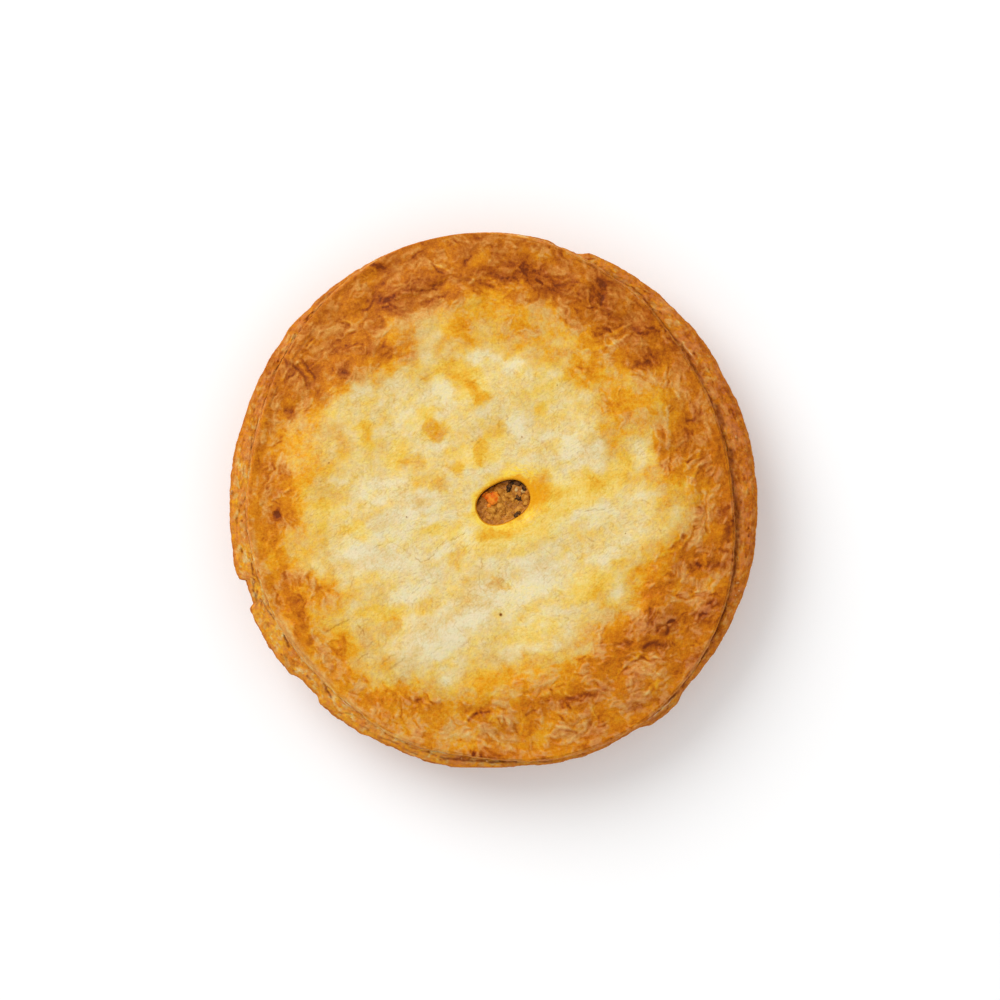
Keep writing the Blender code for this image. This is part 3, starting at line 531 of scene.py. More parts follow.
# Hairline cracks and scrapes of the pale middle, drawn the same way
CRACK_LINES = (
    (-10, -13, -19, -17, 0.5, 0.22, 0.8), (-19, -17, -24, -22, -0.4, 0.22, 0.7),
    (-24, -22, -29, -26, 0.5, 0.26, 1.0), (-29, -26.5, -33, -23.5, 0.4, 0.24, 0.9),
    (-51, -21, -45, -18, 0.4, 0.2, 0.6), (-45, -18, -38, -20, 0.6, 0.2, 0.6),
    (-38, -20, -36, -23, 0.4, 0.2, 0.5), (-34, -40, -30, -37, 0.3, 0.24, 0.8),
    (-30, -37, -22, -35, 0.5, 0.2, 0.6), (-58, -31, -61, -38, 0.5, 0.25, 0.7),
    (-72, -57, -59, -50, 0.3, 0.3, 1.0), (-57, -53, -54, -58, 0.9, 0.35, 0.9),
    (-54, -54, -56, -60, -0.8, 0.3, 0.7), (-58, -69, -52, -65, 0.4, 0.3, 0.9),
    (-48, -71, -40, -65, 0.5, 0.28, 0.9), (-44, -72, -36, -66, -0.4, 0.28, 0.8),
    (-54, -63, -49, -60, 0.3, 0.25, 0.7), (-26, -66, -20, -62, 0.5, 0.2, 0.6),
    (-8, -57, -14, -63, 0.6, 0.22, 0.6), (-16, -52, -11, -57, -0.5, 0.22, 0.5),
    (-4, -24, -5, -30, 0.5, 0.22, 0.8), (-5, -30, -4.5, -38, -0.4, 0.2, 0.6),
    (7, -33, 11, -40, 0.5, 0.2, 0.5), (22, -20, 27, -26, 0.6, 0.2, 0.5),
    (40, -16, 44, -18, 0.3, 0.25, 0.7), (38, -5, 50, -4, 0.7, 0.24, 0.7),
    (50, -4, 52, -1, 0.4, 0.2, 0.5), (43, 41, 47, 40.5, 0.3, 0.3, 0.8),
    (44, 43.5, 49, 45, 0.3, 0.25, 0.6), (63, 0, 68, -2, 0.6, 0.3, 0.7),
    (66, 22, 62, 19, 0.4, 0.25, 0.5), (6, 37, 7, 33, 0.3, 0.3, 0.5), (-31, 50, -24, 54, 0.5, 0.24, 0.5),
    (-12, 51, -3, 48, 0.6, 0.3, 0.5), (-75, 9, -68, 6, 0.5, 0.25, 0.5),
)

# Small dark specks of the middle: x, y, radius
DARK_SPECKS = (
    (4, -48.5, 0.7), (-36, -7, 0.3), (13, 27, 0.3), (-69, 16, 0.3), (57, -14, 0.25), (28, 49, 0.25),
)

# How far the lid's cut edge runs outwards on its way down, by direction. Where it is far, the lid
# seems to be pressed into the rim
EDGE_SLOPE = (
    (0, 1.2), (36, 0.9), (48, 1.0), (60, 1.2), (75, 2.0), (120, 2.0), (132, 1.0), (142, 1.0),
    (150, 1.8), (180, 2.2), (205, 2.0), (225, 1.8), (245, 1.5), (256, 1.2), (264, 1.0), (276, 0.8),
    (286, 1.6), (303, 1.6), (310, 0.8), (330, 0.5), (346, 0.8),
)

# Dark strokes along the lid's edge and over the rim, clockwise: both directions, both distances from
# the pie's middle, half width, strength. They are partly the pastry's dark layer lines and partly
# painted shadow in the gap where the lid's edge shades the rim, most of it at the right
DARK_STROKES = (
    (45.0, 40.0, 105.2, 105.2, 0.5, 0.5), (40.0, 35.0, 105.8, 104.8, 0.45, 0.9),
    (36.0, 28.0, 104.6, 104.0, 0.4, 0.5), (29.0, 22.0, 103.6, 103.4, 0.5, 0.5),
    (24.0, 17.0, 105.2, 104.6, 1.1, 0.75), (18.0, 11.0, 103.4, 103.4, 0.5, 0.6),
    (13.0, 8.0, 105.2, 104.8, 1.2, 0.8), (9.0, -1.0, 104.2, 104.2, 0.7, 0.7),
    (2.0, -9.0, 105.2, 106.4, 1.5, 0.75), (-7.0, -15.0, 106.6, 108.0, 1.0, 0.8),
    (-13.0, -22.0, 108.4, 109.6, 0.6, 0.8), (-21.0, -34.0, 109.6, 112.4, 0.5, 1.0),
    (-33.0, -46.0, 112.4, 114.3, 0.5, 1.0), (315.0, 311.0, 115.0, 115.4, 0.5, 0.8),
    (312.5, 305.0, 117.4, 117.4, 0.6, 0.5), (284.0, 278.0, 115.8, 113.2, 0.5, 0.9),
    (277.0, 268.0, 112.8, 112.2, 0.8, 0.9), (271.0, 257.0, 112.1, 112.6, 0.7, 0.9),
    (258.0, 251.0, 111.6, 111.8, 0.35, 0.5), (254.0, 250.0, 114.0, 113.2, 0.4, 0.6),
    (250.0, 244.0, 111.6, 113.0, 0.4, 0.6), (242.5, 239.0, 112.0, 112.0, 0.4, 0.5),
    (238.5, 235.0, 109.2, 111.0, 0.4, 0.6), (234.5, 232.0, 114.3, 114.3, 0.4, 0.6),
    (231.5, 227.0, 109.6, 106.6, 0.5, 0.9), (242.0, 226.0, 107.2, 105.6, 0.35, 0.6),
    (225.0, 223.4, 109.2, 109.2, 0.6, 0.9), (218.0, 216.4, 111.2, 111.0, 0.6, 0.6),
    (216.6, 212.0, 107.8, 105.2, 0.45, 1.0), (209.6, 208.4, 110.2, 109.6, 0.6, 0.5),
    (209.4, 202.0, 106.2, 108.2, 0.35, 0.7), (204.0, 199.8, 109.9, 109.2, 0.55, 1.0),
    (200.6, 198.0, 109.6, 107.2, 0.35, 0.7), (198.2, 193.8, 107.3, 106.4, 0.45, 0.95),
    (194.0, 191.0, 106.4, 110.0, 0.35, 0.5), (191.0, 183.0, 104.6, 104.2, 0.5, 0.4),
    (185.4, 183.8, 109.8, 109.6, 0.5, 0.5), (225.0, 210.6, 104.0, 104.0, 0.35, 0.35),
    (180.0, 177.4, 106.0, 105.0, 0.4, 0.5), (177.6, 167.0, 104.2, 104.0, 0.4, 0.6),
    (167.6, 161.0, 104.0, 105.8, 0.4, 0.8), (161.6, 157.4, 105.8, 104.0, 0.35, 0.5),
    (158.0, 151.0, 103.4, 103.4, 0.4, 0.6), (150.4, 142.2, 108.2, 108.0, 0.4, 0.95),
    (142.8, 139.4, 107.8, 110.6, 0.35, 0.6), (148.6, 134.6, 103.6, 105.6, 0.5, 0.5),
    (136.0, 132.8, 111.2, 111.6, 0.4, 0.9), (132.6, 124.8, 112.8, 113.0, 0.35, 0.8),
    (125.4, 121.4, 113.0, 113.2, 0.3, 0.5), (71.6, 64.0, 109.4, 109.2, 0.35, 0.6),
    (65.0, 56.5, 109.8, 109.6, 1.3, 0.5), (57.8, 50.8, 110.2, 108.2, 0.35, 0.95),
    (51.4, 45.0, 107.6, 105.6, 0.35, 0.5),
)

# Pale and pinkish lines there, drawn the same way: raw pastry at the lid's cut edge, and painted
# highlight where that edge catches the light
PALE_STROKES = (
    (90.0, 78.0, 112.6, 112.2, 0.45, 0.6), (56.8, 50.5, 107.2, 106.9, 0.45, 0.85),
    (40.8, 34.8, 106.5, 106.4, 0.35, 0.9), (-8.0, -20.0, 105.8, 108.2, 0.5, 0.6),
    (-33.0, -46.0, 111.4, 113.2, 0.45, 0.7), (314.5, 304.0, 115.6, 116.2, 0.4, 1.0),
    (284.0, 279.0, 112.4, 110.4, 0.4, 0.6), (261.4, 254.2, 110.2, 110.0, 0.5, 1.0),
    (255.0, 240.0, 109.6, 108.6, 0.9, 0.5), (236.6, 232.8, 107.2, 107.2, 0.7, 1.0),
    (197.0, 193.6, 105.4, 105.0, 0.6, 0.5), (177.0, 173.6, 100.6, 100.4, 0.5, 0.7),
    (176.0, 168.0, 108.0, 107.4, 0.5, 0.5), (163.0, 160.0, 105.0, 105.0, 0.5, 0.6),
    (157.0, 153.8, 100.2, 100.0, 0.5, 0.7), (150.2, 146.4, 103.6, 103.6, 0.5, 0.8),
    (157.2, 154.4, 108.4, 109.0, 0.5, 0.7), (133.0, 124.0, 111.6, 111.8, 0.4, 0.5),
    (232.0, 206.0, 104.4, 103.6, 1.5, 0.55), (207.0, 184.0, 104.4, 103.0, 1.2, 0.5),
    (212.0, 203.0, 105.6, 105.0, 0.6, 0.8), (250.0, 231.0, 106.8, 104.6, 1.0, 0.5),
    (5.0, -8.0, 107.6, 108.8, 0.8, 0.5), (30.0, 12.0, 107.6, 107.6, 1.0, 0.45),
)


def smooth(share):
    """A smooth step: 3 t squared less 2 t cubed, for t held between 0 and 1."""
    share = np.clip(share, 0.0, 1.0)
    return share * share * (3.0 - 2.0 * share)


def polar(radius, angle):
    """The x and y of places given by distance and direction: its cosine and its sine."""
    return radius * np.cos(angle), radius * np.sin(angle)


def turned(x, y, degrees):
    """Places turned anticlockwise: x cosine less y sine, and x sine plus y cosine."""
    turn = math.radians(degrees)
    return x * math.cos(turn) - y * math.sin(turn), x * math.sin(turn) + y * math.cos(turn)


def lattice_noise(x, y, seed):
    """A smooth random field of about -1 to 1, with a feature a unit.

    Each whole-number corner has a random slope. A point takes its four corners' slopes times its
    offsets from them, blended by a quintic step in both directions.
    """
    turns = np.random.default_rng(seed).uniform(0.0, 2.0 * math.pi, (256, 256))
    x0, y0 = np.floor(x).astype(int), np.floor(y).astype(int)
    fx, fy = x - x0, y - y0

    def corner(i, j):
        """One corner's slope times the offsets from it."""
        turn = turns[(x0 + i) & 255, (y0 + j) & 255]
        return np.cos(turn) * (fx - i) + np.sin(turn) * (fy - j)

    sx = fx**3 * (fx * (fx * 6 - 15) + 10)
    sy = fy**3 * (fy * (fy * 6 - 15) + 10)
    low = corner(0, 0) + (corner(1, 0) - corner(0, 0)) * sx
    high = corner(0, 1) + (corner(1, 1) - corner(0, 1)) * sx
    return 1.5 * (low + (high - low) * sy)


def noise(x, y, size, seed):
    """That field with features of a size in millimetres."""
    return lattice_noise(x / size, y / size, seed)


def cloud(x, y, size, octaves, seed):
    """Noise with finer and finer detail: each octave has half the size and half the strength."""
    total = np.zeros_like(x)
    for octave in range(octaves):
        total += noise(x, y, size / 2.0**octave, seed + octave) / 2.0**octave
    return total


def warped(x, y, reach, size, seed):
    """The same places, each shifted by noise of that reach, so that straight patterns squirm."""
    return x + reach * noise(x, y, size, seed), y + reach * noise(x, y, size, seed + 50)


def waved_radius(mean, waves, angle):
    """A circle's radius plus low cosine waves."""
    radius = np.full_like(angle, mean)
    for order, height, crest in waves:
        radius += height * np.cos(order * (angle - math.radians(crest)))
    return radius


def turn_between(angle, direction):
    """Degrees from a direction to an angle given in radians, the short way round."""
    return (np.degrees(angle) - direction + 180.0) % 360.0 - 180.0


def bitten(radius, angle, bites):
    """An outline less its bites, each 1 / (1 + distance from its middle to a power)."""
    for direction, half_width, depth, power in bites:
        radius = radius - depth / (1.0 + np.abs(turn_between(angle, direction) / half_width) ** power)
    return radius


def rim_radius(angle):
    """The rim's outline: a waved circle less its bites."""
    return bitten(waved_radius(RIM_RADIUS, RIM_WAVES, angle), angle, RIM_BITES)


def lid_radius(angle):
    """The lid's outline: a waved circle less its bites."""
    return bitten(waved_radius(LID_RADIUS, LID_WAVES, angle), angle, LID_BITES)


def rim_top(radius, angle):
    """Height of the rim's upper face: a parabola's droop outwards and two low waves round the pie."""
    inner = WALL_TOP_RADIUS - CRUST
    out = np.clip((radius - inner) / (RIM_RADIUS - inner), 0.0, 1.2)
    wave = np.cos(5 * angle + 0.6) + 0.6 * np.cos(9 * angle - 1.1)
    return RIM_TOP - RIM_DROOP * out**2 + RIM_WAVE * wave * out


def dome_rise(share):
    """The lid's rise over the rim: a smooth shoulder, then a parabola up to the middle."""
    shoulder = smooth((SHOULDER_FOOT - share) / (SHOULDER_FOOT - SHOULDER_TOP))
    crown = np.clip(1.0 - share**2, 0.0, 1.0)
    return SHOULDER_RISE * shoulder + CROWN_RISE * crown * shoulder


def lid_underside(x, y):
    """Height of the lid's underside: the rim's upper face, the gap over it and the dome's rise."""
    radius = np.hypot(x, y)
    angle = np.arctan2(y, x)
    return rim_top(radius, angle) + GAP + dome_rise(radius / lid_radius(angle))


def oval_share(x, y, direction, distance, length, width):
    """Distance from an oval's middle, squared, where 1 is its edge. The oval lies round the pie."""
    out, along = turned(x, y, -direction)
    return (2 * along / length) ** 2 + (2 * (out - distance) / width) ** 2


def blister_relief(x, y):
    """Bubbles in the lid: a smooth step of one less the oval's share. Where two meet, the higher."""
    rows = list(GREAT_BLISTERS)
    chance = np.random.default_rng(BLISTER_SEED)
    for number in range(SMALL_BLISTERS):
        direction = 360.0 * (number + chance.uniform(-0.35, 0.35)) / SMALL_BLISTERS
        distance = chance.uniform(*BLISTER_RING)
        length = chance.uniform(*SMALL_BLISTER_LENGTH)
        width = length * chance.uniform(0.55, 0.95)
        rows.append((direction, distance, length, width, chance.uniform(*SMALL_BLISTER_HEIGHT)))
    relief = np.zeros_like(x)
    for direction, distance, length, width, height in rows:
        share = oval_share(x, y, direction, distance, length, width)
        relief = np.maximum(relief, height * smooth(1.0 - share))
    return relief


def fold_relief(angle, share):
    """Creased folds that lean as they run in from the edge: the size of a swaying sine."""
    sway = 0.9 * np.sin(3 * angle + 7.0 * share) + 0.6 * np.sin(7 * angle - 4.0 * share)
    crease = np.abs(np.sin(0.5 * FOLDS * angle + FOLD_LEAN * share + sway))
    band = smooth((share - 0.58) / 0.2) * smooth((1.0 - share) / 0.07)
    return FOLD_HEIGHT * (crease - 0.5) * band


def swell_relief(x, y):
    """Broad, low swells: sine waves of several lengths that cross one another."""
    relief = np.zeros_like(x)
    for length, direction, phase, height in SWELLS:
        relief += height * np.sin(2 * math.pi * turned(x, y, -direction)[0] / length + phase)
    return relief


def vent_share(x, y):
    """Distance from the vent's middle as a share of its outline that way, by the superellipse."""
    along, across = turned(x - VENT_CENTRE[0], y - VENT_CENTRE[1], -VENT_TURN)
    along, across = np.abs(along / VENT_LONG), np.abs(across / VENT_SHORT)
    return (along**VENT_SQUARENESS + across**VENT_SQUARENESS) ** (1.0 / VENT_SQUARENESS)


def vent_direction(x, y):
    """Direction from the vent's middle, in radians."""
    return np.arctan2(y - VENT_CENTRE[1], x - VENT_CENTRE[0])


def from_vent(along, across):
    """Places given along and across the vent, turned and shifted into the pie's own x and y."""
    x, y = turned(along, across, VENT_TURN)
    return VENT_CENTRE[0] + x, VENT_CENTRE[1] + y


def vent_outline(growth, angle):
    """Points of the vent's superellipse, grown outward, matched to the angles from the pie's middle."""
    power = 2.0 / VENT_SQUARENESS
    cosine, sine = polar(1.0, angle - math.radians(VENT_TURN))
    along = (VENT_LONG + growth) * np.sign(cosine) * np.abs(cosine) ** power
    across = (VENT_SHORT + growth) * np.sign(sine) * np.abs(sine) ** power
    return from_vent(along, across)


def round_the_pie(rows, angle, column=1):
    """A value that runs in straight steps between the directions it is given at, right round the pie."""
    directions, values = [row[0] for row in rows], [row[column] for row in rows]
    return np.interp(np.degrees(angle) % 360.0, directions, values, period=360.0)


def patchwork(x, y, rows, power=1.3):
    """The sum of the patches: each a flat-topped bell over a turned oval, flatter for a higher power."""
    total = np.zeros_like(x)
    for cx, cy, length, width, turn, amount in rows:
        along, across = turned(x - cx, y - cy, -turn)
        share = (along / length) ** 2 + (across / width) ** 2
        total += amount * np.exp(-(share**power))
    return total


def strokes(x, y, lean, width, length, seed):
    """Noise smeared along a direction that changes from place to place, from about -1 to 1.

    Nine samples of one noise are taken along a line of that length through the place, in its own
    direction, and summed with weights that fall off as a parabola.
    """
    total = np.zeros_like(x)
    squares = 0.0
    ahead, aside = polar(length, lean)
    for step in np.linspace(-0.5, 0.5, 9):
        weight = 1.0 - 2.4 * step * step
        total += weight * noise(x + step * ahead, y + step * aside, width, seed)
        squares += weight * weight
    return total / math.sqrt(squares) / 1.05


def crests(value, share):
    """Thin crests where a noise crosses nought: one less its size over a share, squared."""
    return np.clip(1.0 - np.abs(value) / share, 0.0, 1.0) ** 2


def browning(x, y):
    """How browned the lid is, 0 cream to 1 dark brown.

    Two smooth steps, one across the gold edge and one across the brown edge, with an even rise from
    one to the other. Noise makes both edges squirm. The patches that show are added, and then
    mottling that grows with the browning.
    """
    px, py = warped(x, y, 2.6, 9.0, 17)
    px, py = warped(px, py, 1.2, 3.1, 18)
    radius, angle = np.hypot(px, py), np.arctan2(py, px)
    radius = radius + 5.0 * noise(x, y, 11, 3) + 3.0 * noise(x, y, 5, 4)
    gold, brown = round_the_pie(BROWNING_EDGES, angle), round_the_pie(BROWNING_EDGES, angle, 2)
    ring = round_the_pie(RING_BROWN, angle)
    bake = MIDDLE_BROWN + (GOLD_BROWN - MIDDLE_BROWN) * smooth((radius - gold + 9.0) / 18.0)
    bake += (ORANGE_BROWN - GOLD_BROWN) * np.clip((radius - gold) / (brown - gold), 0.0, 1.0)
    bake += (ring - ORANGE_BROWN) * smooth((radius - brown + 8.0) / 18.0)
    mx, my = warped(px, py, 0.9, 1.7, 19)
    patches = patchwork(mx, my, RING_PATCHES)
    wisps = 0.7 * strokes(px, py, grain_direction(x, y, 1.3), 2.0, 8.0, 308)
    bake += patches + wisps * np.clip(patches, 0.0, None)
    bake += 1.65 * patchwork(mx, my, MIDDLE_PATCHES, 2.0)
    mottling = 0.028 * noise(px, py, 14, 30) + 0.044 * noise(px, py, 6, 31)
    mottling += 0.032 * noise(x, y, 3, 32) + 0.020 * noise(x, y, 1.6, 33)
    return bake + (1.0 + smooth((bake - 0.12) / 0.35)) * mottling


def drawn_lines(x, y, rows):
    """How strongly drawn lines mark each place, 0 to about 1.

    A line is a parabola over its chord. Across it the mark is a bell of the line's half width, and
    it fades in and out over a fifth of its length. Where two lines meet, the stronger shows.
    """
    total = np.zeros_like(x)
    for x0, y0, x1, y1, bend, width, strength in rows:
        length = math.hypot(x1 - x0, y1 - y0)
        ux, uy = (x1 - x0) / length, (y1 - y0) / length
        along = ((x - x0) * ux + (y - y0) * uy) / length
        across = (y - y0) * ux - (x - x0) * uy - 4.0 * bend * along * (1.0 - along)
        close = (along > 0.0) & (along < 1.0) & (np.abs(across) < 3.0 * width)
        near = along[close]
        mark = np.exp(-((across[close] / width) ** 2))
        mark *= strength * smooth(near / 0.2) * smooth((1.0 - near) / 0.2)
        total[close] = np.maximum(total[close], mark)
    return total


def ring_lines(rows):
    """Lines given by directions and distances, turned into their ends and the bend of the rim."""
    lines = []
    for first, last, start, end, width, strength in rows:
        one, two = math.radians(first), math.radians(last)
        bend = 0.5 * (start + end) * (1.0 - math.cos(0.5 * (one - two)))
        lines.append((*polar(start, one), *polar(end, two), bend, width, strength))
    return lines


def edge_marks(x, y):
    """How strongly the dark strokes, partly painted shadow, and the pale lines, partly painted
    highlight, mark each place, with noise that bends them.
    """
    px, py = warped(x, y, 0.5, 3.0, 81)
    frayed = 0.75 + 0.5 * noise(x, y, 1.6, 95)
    dark = drawn_lines(px, py, ring_lines(DARK_STROKES)) * frayed
    return np.clip(1.2 * dark, 0.0, 1.0), drawn_lines(px, py, ring_lines(PALE_STROKES))


def grain_direction(x, y, wander):
    """Which way the wrinkles run, in radians: round the pie at the top, in and out at the right and
    the bottom, with noise that turns them this way and that."""
    angle = np.arctan2(y, x)
    inward = smooth((np.cos(angle - math.radians(-50)) + 0.35) / 0.9)
    turn = noise(x, y, 12, 47) + 0.5 * noise(x, y, 5, 49)
    return angle + 0.5 * math.pi * (1.0 - inward) + 0.35 * math.pi * inward + wander * turn


def vent_spill(x, y):
    """Filling that has boiled out and dried yellow round the vent, 0 to 1, widest at the right, and
    how much deeper its gold is close to the opening, most at the upper right."""
    away = (vent_share(x, y) - 1.0) * 0.5 * (VENT_LONG + VENT_SHORT)
    turn = vent_direction(x, y)
    reach = 2.6 + 1.6 * np.cos(0.5 * (turn - math.radians(10))) ** 4 + 1.2 * np.cos(turn + 1.6) ** 2
    reach += 1.5 * noise(x, y, 4, 61)
    spill = np.exp(-((np.clip(away, 0.0, None) / np.clip(reach, 1.2, None)) ** 3))
    streaky = 0.5 + 0.5 * np.cos(2.0 * math.pi * (away / 1.7 + 0.7 * noise(x, y, 3, 62)))
    far = np.exp(-(((away - 5.0) / 4.0) ** 2)) * smooth((np.cos(turn - 0.2) - 0.1) / 0.5)
    deeper = np.exp(-(((away - 0.9) / 1.3) ** 2)) * (0.6 + 0.4 * np.cos(turn - 1.2))
    return np.clip(spill * (0.75 + 0.25 * streaky) + 0.45 * far * streaky, 0.0, 1.0), deeper


def lid_fields(x, y):
    """Relief and colour of the lid's top.

    The relief, in millimetres, is the lid's own swells and soft blisters, drawn folds and creases,
    and flakes with wrinkles on them, which grow with the browning. The pale middle has fine grain,
    scrapes, veins and short dashes instead, and broad drifts of colour. Painted shadow darkens the
    lower right of each raised fold, and painted shade darkens the creases and the pleats' valleys. The
    colours are: bake, 0 cream to 1 dark brown; cream, -1 yellow to 1 pale; blush, -1 greenish to 1
    pinkish; yolk, how much has boiled over; and shade, how much of the olive brown of a crack, a speck
    or a dark stroke shows, the strokes partly painted shadow along the lid's edge.
    """
    radius, angle = np.hypot(x, y), np.arctan2(y, x)
    share = radius / lid_radius(angle)
    bake = browning(x, y)
    browned = smooth((bake - 0.24) / 0.24)

    # Drawn marks
    px, py = warped(x, y, 0.8, 3.4, 40)
    raised = drawn_lines(px, py, RAISED_LINES)
    # Painted shadow on the lower right of each raised fold, the side away from the light, with a slight
    # dip
    painted_shadow_side = drawn_lines(px - 0.8, py + 0.8, RAISED_LINES) * (1.0 - raised)
    sunken = drawn_lines(px, py, SUNKEN_LINES)
    qx, qy = warped(x, y, 0.6, 1.6, 43)
    crack = drawn_lines(qx, qy, CRACK_LINES)
    dark_edge, pale_edge = edge_marks(x, y)
    specks = np.zeros_like(x)
    for cx, cy, size in DARK_SPECKS:
        specks += np.exp(-(((x - cx) ** 2 + (y - cy) ** 2) / size**2) ** 2)

    # Flakes and wrinkles of the browned ring
    wx, wy = warped(x, y, 1.3, 4.0, 41)
    lean = grain_direction(x, y, 1.3)
    flaky = cloud(wx, wy, 9.5, 3, 48) + 0.35 * noise(x, y, 2.2, 45)
    flake = smooth((flaky + 0.2) / 0.45)
    rough = 0.3 + 0.75 * flake
    pleat = strokes(wx, wy, lean, 2.2, 12.0, 300)
    tan = smooth((flaky + 0.55 * pleat + 0.35) / 0.8)
    fold = np.clip(1.8 * pleat, -0.6, 1.0)
    crease = np.clip(1.5 * strokes(wx, wy, lean + 0.4, 1.15, 4.0, 301), -0.6, 1.0)
    lift = 0.9 * fold + 0.5 * crease
    # Pits darken the pleats' valleys: painted shade in the creases
    pits = np.clip(-pleat - 0.25, 0.0, 0.5) * smooth((noise(x, y, 7, 312) + 0.1) / 0.5)

    # Grain, scrapes, drifts, dashes and veins of the pale middle
    grain = noise(x, y, 0.95, 303) + 0.6 * noise(x, y, 1.7, 304)
    scrape = strokes(x, y, 0.6 + 1.3 * noise(x, y, 16, 305), 0.75, 1.5, 306)
    scrape *= smooth((noise(x, y, 9, 307) + 0.5) / 0.8)
    drift = strokes(wx, wy, 0.55 + 0.5 * noise(x, y, 20, 330), 5.0, 14.0, 331)
    dash = strokes(x, y, 0.6 + 0.6 * noise(x, y, 14, 332), 0.7, 2.2, 333)
    dash = np.clip(dash - 0.3, 0.0, 0.4) * smooth((noise(x, y, 10, 334) + 0.4) / 0.6)
    vein = crests(noise(qx, qy, 3.2, 310), 0.2) * smooth((noise(x, y, 8, 311) + 0.05) / 0.4)

    # Relief, which fades out at the vent and at the edge
    crumple = 0.2 * flake + rough * (0.25 * fold + 0.12 * crease) + 0.04 * grain - 0.15
    crumple += 0.24 * raised - 0.1 * painted_shadow_side - 0.25 * sunken - 0.4 * dark_edge + 0.2 * pale_edge
    calm_grain = 0.025 * grain + 0.03 * scrape - 0.05 * vein - 0.08 * dash
    calm = smooth((vent_share(x, y) - 1.0) / 0.8) * smooth((1.0 - share) / 0.05)
    relief = 0.8 * blister_relief(x, y) + 0.4 * fold_relief(angle, share) + swell_relief(x, y)
    thickness = LID_EDGE + (LID_MIDDLE - LID_EDGE) * smooth((1.0 - share) / 0.25)
    height = lid_underside(x, y) + thickness
    height += (relief + browned * crumple + calm_grain - 0.1 * crack) * calm

    # Colours
    yolk, deeper = vent_spill(x, y)
    pale = 1.0 - browned
    bake += browned * (0.05 - 0.1 * tan - 0.1 * rough * lift + 0.45 * pits - 0.025 * grain)
    bake -= pale * (0.025 * grain + 0.036 * scrape - 0.05 * vein - 0.045 * drift)
    bake += (0.3 + 0.7 * browned) * (0.13 * painted_shadow_side + 0.22 * sunken - 0.17 * raised)
    bake += 0.06 * crack + 0.1 * specks + 0.1 * dark_edge - 0.15 * pale_edge + 0.18 * deeper
    cream = 1.8 * patchwork(wx, wy, CREAM_PATCHES, 1.7) + 0.1
    cream += 0.5 * noise(wx, wy, 5, 66) + 0.3 * noise(x, y, 2, 67)
    cream -= 1.2 * np.clip(bake - 0.15, -0.1, 0.2) * (1.0 - smooth((bake - 0.38) / 0.15))
    cream += browned * (1.7 * tan - 1.05 + rough * 0.4 * lift + 0.25 * raised - 0.2 * sunken)
    cream -= pale * (0.3 * grain + 0.35 * scrape + 0.25 * drift)
    blush = 0.6 * noise(x, y, 3, 68) + 0.5 * noise(x, y, 1.4, 69)
    blush += browned * (0.9 * tan - 0.6 + 0.3 * lift + 0.2 * raised) + 1.3 * pale_edge
    blush -= 0.4 * browned * np.cos(angle - math.radians(115))
    shade = 0.36 * crack + specks + browned * 0.2 * sunken + 0.82 * dark_edge
    shade += pale * (0.13 * vein + 0.4 * dash + 0.18 * np.clip(-grain - 0.3, 0.0, 1.0))
    tints = {
        "bake": bake,
        "cream": np.maximum(np.clip(cream, -1.0, 1.0), 2.8 * pale_edge - 0.7),
        "blush": np.clip(blush, -1.0, 1.0),
        "yolk": yolk,
        "shade": np.clip(shade, 0.0, 1.0),
    }
    return height, tints


def tone(red, green, blue):
    """A colour given as a screen shows it, 0 to 255, turned into the linear values shaders use."""
    screen = np.array([red, green, blue]) / 255.0
    linear = np.where(screen <= 0.04045, screen / 12.92, ((screen + 0.055) / 1.055) ** 2.4)
    return (*linear.tolist(), 1.0)


